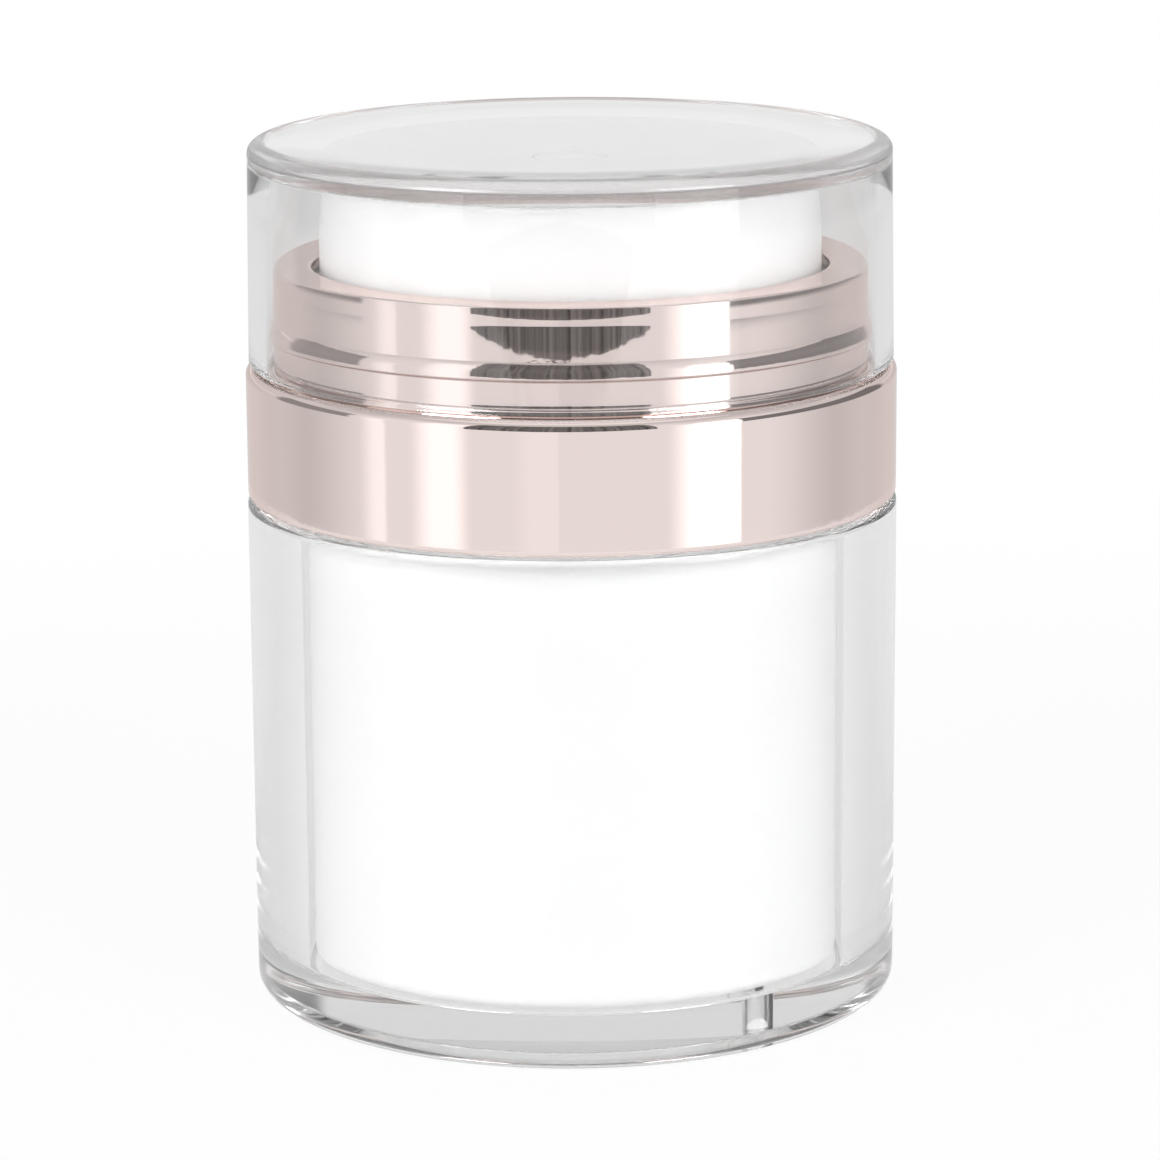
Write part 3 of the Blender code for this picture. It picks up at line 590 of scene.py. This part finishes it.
class TurnOuterJar(bpy.types.Operator):
    """The thick clear jar, with its foot ring, threaded neck and air hole"""

    bl_idname = "cream_jar.outer_jar"
    bl_label = "Outer jar"

    def execute(self, context):
        jar = context.scene.jar_sizes
        side = radius("outer_jar")
        bore = side - jar.wall
        neck = bore + jar.neck
        shoulder = foot("collar") - jar.collar_gap
        rim = top("outer_jar")
        foot_inner = side - jar.foot_width
        corners = [
            (0, jar.base, 0),
            (0, jar.foot_recess, 0),
            (foot_inner - jar.foot_recess, jar.foot_recess, 0.5 * MM),
            (foot_inner, 0, SOFT),
            (side, 0, jar.foot_fillet),
            (side, shoulder, jar.shoulder_fillet),
            (neck, shoulder, SOFT),
            (neck, rim, SOFT),
            (bore, rim, SOFT),
            (bore, jar.base, 0.6 * MM),
        ]
        low, high = shoulder + jar.thread_start, rim - jar.thread_stop

        def thread(t, r, z):
            """A ridge along a helix, which fades in and out at the ends of the neck."""
            ridge = helix_ridge(t, z, low, jar.pitch, jar.thread_slope)
            return jar.thread * ridge * faded(z, low, high, jar.thread_fade) * (np.abs(r - neck) < SAME)

        made = turned("outer_jar_clear", threaded(rounded(corners), neck), relief=thread)
        across = jar.vent_distance * math.sin(jar.vent_bearing)
        forward = -jar.vent_distance * math.cos(jar.vent_bearing)
        vent, low, high = jar.vent_radius, -jar.base, 2 * jar.base
        drill = turned("vent_drill", np.array([(0, low), (vent, low), (vent, high), (0, high)]), segments=48)
        drill.data.transform(Matrix.Translation((across, forward, 0)))
        cut(made, drill)
        acrylic = clear_acrylic("clear jar acrylic")
        tree = acrylic.node_tree
        # The pin that moulds the air hole leaves its wall dull
        away = away_from(tree, across, forward)
        limits = {"Value": away, "From Min": vent + 0.3 * MM, "From Max": vent + 0.1 * MM}
        look = context.scene.finishes
        make_dull(tree, add(tree, "MapRange", limits), look.vent_satin, look.vent_haze)
        dress(made, "jar", acrylic, "clear_acrylic", "outer_jar")
        return {"FINISHED"}


def cut(made, tool):
    """Takes the tool's volume from a piece, and removes the tool."""
    modifier = made.modifiers.new("cut", "BOOLEAN")
    modifier.operation = "DIFFERENCE"
    modifier.solver = "EXACT"
    modifier.object = tool
    bpy.context.view_layer.update()
    graph = bpy.context.evaluated_depsgraph_get()
    mesh = bpy.data.meshes.new_from_object(made.evaluated_get(graph))
    made.modifiers.clear()
    old = made.data
    made.data = mesh
    bpy.data.meshes.remove(old)
    bpy.data.objects.remove(tool)
    mesh.shade_smooth()
    mesh.set_sharp_from_angle(angle=SMOOTH_BELOW)


class TurnInnerCup(bpy.types.Operator):
    """The white cup that holds the cream, hung by its flange on the jar's neck"""

    bl_idname = "cream_jar.inner_cup"
    bl_label = "Inner cup"

    def execute(self, context):
        jar = context.scene.jar_sizes
        bore = radius("outer_jar") - jar.wall
        outer = bore - jar.cup_gap
        inner = outer - jar.cup_wall
        low, high, flange = foot("inner_cup"), top("inner_cup"), radius("inner_cup")
        corners = [
            (jar.cup_air_hole, low, EDGE),
            (outer, low, 1.2 * MM),
            (outer, high - jar.cup_flange, CRISP),
            (flange, high - jar.cup_flange, EDGE),
            (flange, high, EDGE),
            (inner, high, 0.4 * MM),
            (inner, low + jar.cup_floor, 0.8 * MM),
            (jar.cup_air_hole, low + jar.cup_floor, EDGE),
        ]
        made = turned("inner_cup_white", divided(rounded(corners), PLAIN_RUN))
        dress(made, "jar", bpy.data.materials["white polypropylene"], "white_polypropylene", "inner_cup")
        return {"FINISHED"}


class TurnCollar(bpy.types.Operator):
    """The plated collar: band, ledge, ring with its snap bead, and lip"""

    bl_idname = "cream_jar.collar"
    bl_label = "Collar"

    def execute(self, context):
        sizes = context.scene.collar_sizes
        band, low, high = radius("collar"), foot("collar"), top("collar")
        ledge = high - sizes.ring_height
        ring = band - sizes.ledge_width
        ring_inner = ring - sizes.ring_wall
        hole = ring_inner - sizes.lip_width
        band_inner = band - sizes.wall - sizes.press_gap
        bead_low = ledge + sizes.bead_rise
        apex = bead_low + sizes.bead_underside
        bead_high = bead_low + sizes.bead_height
        lip_low = high - sizes.lip_fillet - sizes.lip_lean_height
        wall_high = lip_low - sizes.lean_stop
        # The bead's upper side is an arc that leaves its apex upright and meets the ring's wall at its top:
        # with reach h and depth d its angle is twice the arc tangent of d / h, and its radius h / sin(angle)
        swing = 2 * math.atan(sizes.bead / (bead_high - apex))
        arc = (bead_high - apex) / math.sin(swing)
        at = np.linspace(0, swing, 16)
        upper_side = sharp(ring + sizes.bead - arc * (1 - np.cos(at)), apex + arc * np.sin(at))
        # Above the bead the wall curves in as the square of the height, stands upright for a little, and
        # curves in once more under the lip
        rise = np.linspace(0.02, 1, 24)
        wall = sharp(ring - sizes.lean * rise**2, bead_high + rise * (wall_high - bead_high))
        neck = ring - sizes.lean
        flared = neck + sizes.flare
        under_lip = sharp(flared - sizes.lip_lean * rise**2, lip_low + rise * sizes.lip_lean_height)
        lip = flared - sizes.lip_lean
        corners = np.array(
            [
                (band, low, sizes.hem_fillet),
                (band, ledge, sizes.band_fillet),
                (ring, ledge, 0.35 * MM),
                (ring, bead_low, CRISP),
                (ring + sizes.bead, apex - 0.2 * MM, CRISP),
                *upper_side,
                *wall,
                (neck, wall_high + 0.04 * MM, 0),
                (flared, lip_low - 0.04 * MM, 0),
                *under_lip,
                (lip, high, sizes.lip_fillet),
                (hole, high, 0.5 * MM),
                (hole, high - sizes.wall, EDGE),
                (ring_inner, high - sizes.wall, 0),
                (ring_inner, ledge - sizes.wall, EDGE),
                (band_inner, ledge - sizes.wall, EDGE),
                (band_inner, low, EDGE),
            ]
        )
        outline = divided(rounded(corners, facets=14), 0.8 * MM)
        made = turned("collar_plated", outline, segments=320)
        dress(made, "pump_unit", rose_gold_plate(bead_low, bead_high), "rose_gold_plate", "collar")
        return {"FINISHED"}


class TurnPressHead(bpy.types.Operator):
    """The round white press head, dished on top, with the nozzle's insert in its middle"""

    bl_idname = "cream_jar.press_head"
    bl_label = "Press head"

    def execute(self, context):
        sizes = context.scene.head_sizes
        collar = context.scene.collar_sizes
        ring_inner = radius("collar") - collar.ledge_width - collar.ring_wall
        outer = ring_inner - collar.lip_width - sizes.gap
        inner = outer - sizes.wall
        low, high, flange = foot("press_cover"), top("press_cover"), radius("press_cover")
        flange_top = top("collar") - collar.wall - sizes.flange_gap
        rim = outer - 2 * sizes.wall
        under = high - sizes.top
        # The dish is an arc of one radius from the rim to the pocket, and its underside runs parallel to it
        across = np.linspace(rim, sizes.pocket, 24)
        sag = sizes.dish * (1 - (across / rim) ** 2) / (1 - (sizes.pocket / rim) ** 2)
        dish = sharp(across, high - sag)
        belly = sharp(across, under - sag)[::-1]
        corners = np.array(
            [
                *belly[:-1],
                (inner, under, 0.5 * MM),
                (inner, low, CRISP),
                (outer, low, CRISP),
                (outer, flange_top - sizes.flange, 0),
                (flange, flange_top - sizes.flange, EDGE),
                (flange, flange_top, SOFT),
                (outer, flange_top, 0),
                (outer, high, sizes.fillet),
                *dish,
            ]
        )
        made = turned("press_head_white", divided(rounded(corners), 5 * MM))
        white = bpy.data.materials["white polypropylene"]
        dress(made, "press_head", white, "white_polypropylene", "press_cover")
        edge = radius("nozzle_insert")
        nozzle_low, nozzle_high = foot("nozzle_insert"), top("nozzle_insert")
        insert = [
            (sizes.orifice, nozzle_low, 0.1 * MM),
            (edge, nozzle_low, CRISP),
            (edge, nozzle_high, 0.1 * MM),
            (2 * sizes.orifice, nozzle_high, SOFT),
            (sizes.orifice, nozzle_high - sizes.orifice / 2, EDGE),
        ]
        made = turned("nozzle_white", rounded(insert), segments=96)
        dress(made, "press_head", white, "white_polypropylene", "nozzle_insert")
        return {"FINISHED"}


class TurnCap(bpy.types.Operator):
    """The clear cap over the press head"""

    bl_idname = "cream_jar.cap"
    bl_label = "Cap"

    def execute(self, context):
        sizes = context.scene.cap_sizes
        outer, low, high = radius("cap"), foot("cap"), top("cap")
        inner = outer - sizes.wall
        ceiling = high - sizes.top
        # The top edge is a quarter of an ellipse
        swing = np.linspace(0, math.pi / 2, 20)
        edge = sharp(
            outer - sizes.draft - sizes.edge * (1 - np.cos(swing)),
            high - sizes.edge_drop * (1 - np.sin(swing)),
        )
        # The two halves of the mould meet under it and leave a seam, a dip as a raised cosine
        along = np.linspace(0, 1, 14)
        seam_top = high - sizes.edge_drop - 0.02 * MM
        slope = sizes.draft / (high - low)
        seam_z = seam_top - (1 - along) * sizes.seam_height
        dip = sizes.seam * (1 - np.cos(math.tau * along)) / 2
        seam = sharp(outer - slope * (seam_z - low) - dip, seam_z)
        corners = [
            (0, high, 0),
            (0, ceiling, 0),
            (inner - sizes.draft, ceiling, sizes.inner_edge),
            (inner, low, EDGE),
            (outer, low, SOFT),
            *seam,
            *edge,
        ]
        made = turned("cap_clear", divided(rounded(corners), PLAIN_RUN), segments=320)
        acrylic = clear_acrylic("clear cap acrylic")
        tree = acrylic.node_tree
        look = context.scene.finishes
        # The rounded edge is buffed, and at the seam a grey is painted into the acrylic as painted shade, a
        # dark line under the edge
        flat_edge = outer - sizes.draft - sizes.edge
        away = away_from(tree, 0, 0)
        limits = {"Value": away, "From Min": flat_edge, "From Max": flat_edge + 2 * sizes.edge_blend}
        past = add(tree, "MapRange", limits)
        above = height_share(tree, high - sizes.edge_drop, 1.0, sizes.edge_blend)
        buffed = add(tree, "Math", {0: past, 1: above}, operation="MULTIPLY")
        make_dull(tree, buffed, look.edge_satin, look.edge_haze)
        # Painted shade: a narrow grey band at the seam's height, for the dark line where the top edge's
        # rounding ends; the seam's dip itself is shaped in the outline
        painted_shade_at = height_share(tree, seam_top - sizes.seam_height, seam_top, 0.05 * MM)
        colours = {"Fac": painted_shade_at, "Color1": opaque(look.acrylic), "Color2": opaque(look.seam)}
        plug(tree.nodes["Principled BSDF"], {"Base Color": add(tree, "MixRGB", colours)})
        dress(made, "lid", acrylic, "clear_acrylic", "cap")
        return {"FINISHED"}


class WindSpring(bpy.types.Operator):
    """The return spring, which the press head squeezes"""

    bl_idname = "cream_jar.spring"
    bl_label = "Return spring"

    def execute(self, context):
        sizes = context.scene.spring_sizes
        low, high = foot("return_spring") + sizes.wire, top("return_spring") - sizes.wire
        step = 2 * sizes.wire + sizes.end_gap
        # The wire's middle runs at a fixed radius. Its height climbs by one step over the first and the last
        # turn and evenly in between, joined smoothly, as the integral of the climb at each turn
        turn = np.linspace(0, sizes.turns, sizes.turns * 64 + 1)
        from_end = np.minimum(turn, sizes.turns - turn)
        share = np.clip(from_end - 0.75, 0, 0.5) / 0.5
        share = share * share * (3 - 2 * share)
        steps = np.diff(turn)
        opened = np.concatenate([[0], np.cumsum((share[1:] + share[:-1]) / 2 * steps)])
        climb = (high - low - step * sizes.turns) / opened[-1]
        z = low + step * turn + climb * opened
        t = math.tau * turn
        middle = np.column_stack([sizes.coil * np.cos(t), sizes.coil * np.sin(t), z])
        along = unit(np.gradient(middle, axis=0))
        out = np.column_stack([np.cos(t), np.sin(t), np.zeros(len(t))])
        up = np.cross(along, out)
        # At angle u round the wire the surface point is middle + wire (out cos u + up sin u)
        sides = 16
        u = np.arange(sides) * math.tau / sides
        circle = np.cos(u)[:, None, None] * out + np.sin(u)[:, None, None] * up
        points = np.concatenate([(middle + sizes.wire * circle).reshape(-1, 3), middle[[0, -1]]])
        index = np.arange(sides * len(t)).reshape(sides, len(t))
        beside = np.roll(index, -1, axis=0)
        first, last = np.full(sides, index.size), np.full(sides, index.size + 1)
        faces = grid_faces(index, closed_across=False)
        faces += np.column_stack([first, beside[:, 0], index[:, 0]]).tolist()
        faces += np.column_stack([last, index[:, -1], beside[:, -1]]).tolist()
        made = piece("return_spring_wire", points, faces)
        dress(made, "pump_unit", spring_steel(), "spring_steel", "return_spring")
        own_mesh(made)
        return {"FINISHED"}


class TurnNeckRing(bpy.types.Operator):
    """The white ring pressed into the collar, whose thread meshes with the jar's neck"""

    bl_idname = "cream_jar.neck_ring"
    bl_label = "Neck ring"

    def execute(self, context):
        sizes, jar = context.scene.collar_sizes, context.scene.jar_sizes
        outer, low, high = radius("neck_ring"), foot("neck_ring"), top("neck_ring")
        inner = outer - sizes.neck_ring_wall
        neck = radius("outer_jar") - jar.wall + jar.neck
        reach = neck - sizes.neck_ring_reach
        under = high - sizes.neck_ring_flange
        corners = [
            (outer, low, EDGE),
            (outer, high, SOFT),
            (reach, high, EDGE),
            (reach, under, EDGE),
            (inner, under, EDGE),
            (inner, low, EDGE),
        ]
        start = foot("collar") - jar.collar_gap + jar.thread_start + jar.pitch / 2

        def thread(t, r, z):
            """Ridges inwards, half a pitch above and below the ridge on the jar's neck."""
            ridge = helix_ridge(t, z, start, jar.pitch, sizes.neck_ring_slope)
            ends = low + sizes.neck_ring_start, under - sizes.neck_ring_stop
            return -jar.thread * ridge * faded(z, *ends, jar.thread_fade) * (np.abs(r - inner) < SAME)

        made = turned("neck_ring_white", threaded(rounded(corners), inner), relief=thread)
        white = bpy.data.materials["white polypropylene"]
        dress(made, "pump_unit", white, "white_polypropylene", "neck_ring")
        return {"FINISHED"}


class FinishHiddenPieces(bpy.types.Operator):
    """Gives the pieces inside the jar their materials"""

    bl_idname = "cream_jar.hidden_pieces"
    bl_label = "Hidden pieces"

    def execute(self, context):
        look = context.scene.finishes
        white = bpy.data.materials["white polypropylene"]
        natural = soft_plastic("natural polyethylene", look.natural, 0.45, 1.2)
        silicone = soft_plastic("moulded silicone", look.silicone, 0.5, 0.6)
        foam = soft_plastic("expanded polyethylene foam", look.foam, 0.75, 0.4)
        chosen = [
            (natural, ["follower_piston", "pump_piston"]),
            (white, ["pump_plate", "pump_housing", "housing_cap", "head_core", "stem", "piston_seat"]),
            (silicone, ["housing_seal", "inlet_valve", "outlet_valve"]),
            (foam, ["neck_gasket"]),
        ]
        for material, nodes in chosen:
            for node in nodes:
                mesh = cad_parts[node].data
                mesh.materials.clear()
                mesh.materials.append(material)
        return {"FINISHED"}


class SetStage(bpy.types.Operator):
    """The camera, the pale floor and the soft light round the jar"""

    bl_idname = "cream_jar.stage"
    bl_label = "Stage"

    def execute(self, context):
        studio = context.scene.studio
        context.scene.view_settings.view_transform = "Standard"
        # Light crosses the thick acrylic many times before it leaves, and a low limit leaves black edges
        cycles = context.scene.cycles
        cycles.max_bounces = cycles.glossy_bounces = cycles.transmission_bounces = 32
        lens = bpy.data.cameras.new("camera")
        lens.lens = studio.lens
        lens.sensor_width = 36
        lens.shift_x = studio.camera_shift
        camera = bpy.data.objects.new("camera", lens)
        camera.matrix_world = (
            Matrix.Translation((0, -studio.camera_distance, studio.camera_height))
            @ Matrix.Rotation(math.pi / 2 - studio.camera_pitch, 4, "X")
            @ Matrix.Rotation(studio.camera_roll, 4, "Z")
        )
        context.scene.collection.objects.link(camera)
        context.scene.camera = camera
        make_floor(studio)
        make_surround(studio)
        hang_lamps()
        return {"FINISHED"}


def make_floor(studio):
    """A round matt plate. The camera sees it nearly white, with the jar's own shadow left on it, and under
    the jar a pool of light is painted for metal and glass to see.
    """
    face, back = -studio.air_gap, -studio.air_gap - 1 * MM
    outline = np.array([(0, back), (studio.floor_radius, back), (studio.floor_radius, face), (0, face)])
    floor = turned("floor", outline, segments=128)
    material = bpy.data.materials.new("pale matt floor")
    material.use_nodes = True
    tree = material.node_tree
    tree.nodes.clear()
    fine = add(tree, "MapRange", {"Value": surface_noise(tree, 30, 2), "To Min": 0.0, "To Max": 0.03})
    rgb = add(tree, "MixRGB", {"Fac": fine, "Color1": opaque(studio.floor), "Color2": WHITE})
    matt = add(tree, "BsdfDiffuse", {"Color": rgb})
    backdrop = add(tree, "Emission", {"Color": WHITE, "Strength": 1.0})
    place = add(tree, "TexCoord").outputs["Object"]
    away = add(tree, "VectorMath", {0: place}, operation="LENGTH").outputs["Value"]
    # The jar's own shadow stays near it, and the plate fades into the backdrop at its edge
    limits = {
        "Value": away,
        "From Min": 0.45 * studio.floor_radius,
        "From Max": 0.98 * studio.floor_radius,
        "To Min": studio.near_share,
    }
    edge = add(tree, "MapRange", limits, interpolation_type="SMOOTHSTEP")
    # A pool of light painted on the floor under the jar, standing in for the light that its clear base
    # gathers, ends at the jar's side
    jar = radius("outer_jar")
    limits = {"Value": away, "From Min": 0.95 * jar, "From Max": 1.08 * jar}
    open_floor = add(tree, "MapRange", limits, interpolation_type="SMOOTHSTEP")
    limits = {"Value": open_floor, "To Min": studio.painted_pool_share, "To Max": studio.floor_share}
    share = backdrop_share(tree, edge, add(tree, "MapRange", limits))
    mixed = add(tree, "MixShader", {"Fac": share, 1: matt, 2: backdrop})
    add(tree, "OutputMaterial", {"Surface": mixed})
    floor.data.materials.append(material)


def backdrop_share(tree, camera_share, shiny_share):
    """How much white backdrop a ray meets, for the camera's own and for mirrored and refracted ones."""
    ray = add(tree, "LightPath").outputs
    seen = add(tree, "Math", {0: ray["Is Camera Ray"], 1: camera_share}, operation="MULTIPLY")
    shiny = add(tree, "Math", {0: ray["Is Glossy Ray"], 1: ray["Is Transmission Ray"]}, operation="MAXIMUM")
    part = add(tree, "Math", {0: shiny, 1: shiny_share}, operation="MULTIPLY")
    return add(tree, "Math", {0: seen, 1: part}, operation="ADD", use_clamp=True)


def make_surround(studio):
    """The studio's walls and soft boxes as brightness by direction. The camera itself sees plain white."""
    world = bpy.data.worlds.new("soft studio")
    bpy.context.scene.world = world
    world.use_nodes = True
    tree = world.node_tree
    tree.nodes.clear()
    direction = add(tree, "TexCoord").outputs["Generated"]
    x, y, z = add(tree, "SeparateXYZ", {"Vector": direction}).outputs
    behind = add(tree, "Math", {0: y, 1: -1.0}, operation="MULTIPLY")
    bearing = add(tree, "Math", {0: x, 1: behind}, operation="ARCTAN2")
    height = add(tree, "Math", {0: z}, operation="ARCSINE")
    level = studio.surround
    for _, (towards, up), (width, tallness), (left, right, above), brightness in STUDIO_CARDS:
        beside = within(tree, bearing, towards, width, (left, right))
        upright = within(tree, height, up, tallness, (above, above))
        mask = add(tree, "Math", {0: beside, 1: upright}, operation="MULTIPLY")
        level = add(tree, "MapRange", {"Value": mask, "To Min": level, "To Max": brightness})
    level = dim_opening(tree, bearing, height, level, studio.opening)
    studio_light = add(tree, "Background", {"Color": WHITE, "Strength": level})
    backdrop = add(tree, "Background", {"Color": WHITE, "Strength": 1.0})
    share = backdrop_share(tree, 1.0, studio.backdrop_share)
    mixed = add(tree, "MixShader", {"Fac": share, 1: studio_light, 2: backdrop})
    add(tree, "OutputWorld", {"Surface": mixed})


def dim_opening(tree, bearing, height, level, brightness):
    """The dim room past the front walls, with a lower edge that rises as the square of the bearing."""
    middle, half_width = math.radians(OPENING_MIDDLE), math.radians(OPENING_HALF_WIDTH)
    lowest, rise = math.radians(OPENING_LOWEST), math.radians(OPENING_RISE)
    across = add(tree, "Math", {0: bearing, 1: middle}, operation="SUBTRACT")
    share = add(tree, "Math", {0: across, 1: half_width}, operation="DIVIDE")
    squared = add(tree, "Math", {0: share, 1: share}, operation="MULTIPLY")
    edge = add(tree, "MapRange", {"Value": squared, "To Min": lowest, "To Max": lowest + rise})
    along = {"W": bearing, "Scale": ROOM_GRAINS, "Detail": 4.0}
    upright = add(tree, "TexNoise", along, noise_dimensions="1D")
    along = {"W": bearing, "Scale": EDGE_GRAINS, "Detail": 3.0}
    ragged = add(tree, "TexNoise", along, noise_dimensions="1D")
    most = math.radians(OPENING_UNEVEN)
    uneven = add(tree, "MapRange", {"Value": ragged, "To Min": -most, "To Max": most})
    edge = add(tree, "Math", {0: edge, 1: uneven}, operation="ADD")
    above = add(tree, "Math", {0: height, 1: edge}, operation="SUBTRACT")
    limits = {"Value": above, "From Max": math.radians(OPENING_BLUR)}
    inside = add(tree, "MapRange", limits, interpolation_type="SMOOTHSTEP")
    beside = within(tree, across, 0, 2 * OPENING_HALF_WIDTH, (0.7, 0.7))
    below = within(tree, height, 0, 2 * OPENING_TOP, (6, 6))
    mask = add(tree, "Math", {0: inside, 1: beside}, operation="MULTIPLY")
    mask = add(tree, "Math", {0: mask, 1: below}, operation="MULTIPLY")
    # What stands in the room shows as upright streaks
    room = add(tree, "MapRange", {"Value": upright, "To Min": -1.5 * brightness, "To Max": 4 * brightness})
    return add(tree, "MapRange", {"Value": mask, "To Min": level, "To Max": room})


def within(tree, value, middle, width, fades):
    """1 where an angle lies within half a width of a middle, falling smoothly to 0 over each fade."""
    apart = add(tree, "Math", {0: value, 1: math.radians(middle)}, operation="SUBTRACT")
    apart = add(tree, "Math", {0: apart, 1: math.pi, 2: -math.pi}, operation="WRAP")
    inside = {}
    for side, fade in enumerate(fades):
        sign = 2 * side - 1
        edge, end = sign * math.radians(width / 2), sign * math.radians(width / 2 + fade)
        limits = {"Value": apart, "From Min": end, "From Max": edge}
        inside[side] = add(tree, "MapRange", limits, interpolation_type="SMOOTHSTEP")
    return add(tree, "Math", inside, operation="MULTIPLY")


def hang_lamps():
    """Large square lamps aimed at the jar, soft enough that no shadow has an edge."""
    for name, bearing, height, distance, width, watts in SOFT_LAMPS:
        light = bpy.data.lights.new(name, "AREA")
        light.size = width
        light.energy = watts
        shine_on_matt(light)
        lamp = bpy.data.objects.new(name, light)
        lamp.matrix_world = (
            Matrix.Translation(LAMP_AIM)
            @ Matrix.Rotation(math.radians(bearing), 4, "Z")
            @ Matrix.Rotation(math.radians(90 - height), 4, "X")
            @ Matrix.Translation((0, 0, distance))
        )
        lamp.visible_glossy = False
        lamp.visible_camera = False
        bpy.context.scene.collection.objects.link(lamp)


def shine_on_matt(light):
    """Leaves a lamp out of what metal mirrors through the clear cap.

    A path with a mirror bounce that crossed clear faces before and after it, and met nothing matt, sees it
    dark.
    """
    light.use_nodes = True
    tree = light.node_tree
    tree.nodes.clear()
    ray = add(tree, "LightPath").outputs
    mirrored = add(tree, "Math", {0: ray["Glossy Depth"], 1: 0.5}, operation="GREATER_THAN")
    crossed = add(tree, "Math", {0: ray["Transmission Depth"], 1: CAP_CROSSINGS}, operation="GREATER_THAN")
    plain = add(tree, "Math", {0: ray["Diffuse Depth"], 1: 0.5}, operation="LESS_THAN")
    through = add(tree, "Math", {0: mirrored, 1: crossed}, operation="MULTIPLY")
    left_out = add(tree, "Math", {0: through, 1: plain}, operation="MULTIPLY")
    shown = add(tree, "Math", {0: 1.0, 1: left_out}, operation="SUBTRACT")
    add(tree, "OutputLight", {"Surface": add(tree, "Emission", {"Strength": shown})})


OPERATORS = [
    SetStage,
    MixWhitePlastic,
    TurnOuterJar,
    TurnInnerCup,
    TurnCollar,
    TurnPressHead,
    TurnCap,
    WindSpring,
    TurnNeckRing,
    FinishHiddenPieces,
]


class CreamJarPanel(bpy.types.Panel):
    """Lists the steps that dress the jar"""

    bl_idname = "VIEW3D_PT_cream_jar"
    bl_label = "Cream Jar"
    bl_space_type = "VIEW_3D"
    bl_region_type = "UI"
    bl_category = "Cream Jar"

    def draw(self, context):
        for operator in OPERATORS:
            self.layout.operator(operator.bl_idname)
        for name, group in GROUPS.items():
            box = self.layout.box()
            box.label(text=group.__doc__)
            for prop in group.__annotations__:
                box.prop(getattr(context.scene, name), prop)


def register():
    for group in GROUPS.values():
        bpy.utils.register_class(group)
    for name, group in GROUPS.items():
        setattr(bpy.types.Scene, name, PointerProperty(type=group))
    for operator in OPERATORS:
        bpy.utils.register_class(operator)
    bpy.utils.register_class(CreamJarPanel)


def unregister():
    bpy.utils.unregister_class(CreamJarPanel)
    for operator in reversed(OPERATORS):
        bpy.utils.unregister_class(operator)
    for name, group in GROUPS.items():
        delattr(bpy.types.Scene, name)
        bpy.utils.unregister_class(group)


def main():
    register()
    for operator in OPERATORS:
        family, name = operator.bl_idname.split(".")
        getattr(getattr(bpy.ops, family), name)()


if __name__ == "__main__":
    main()
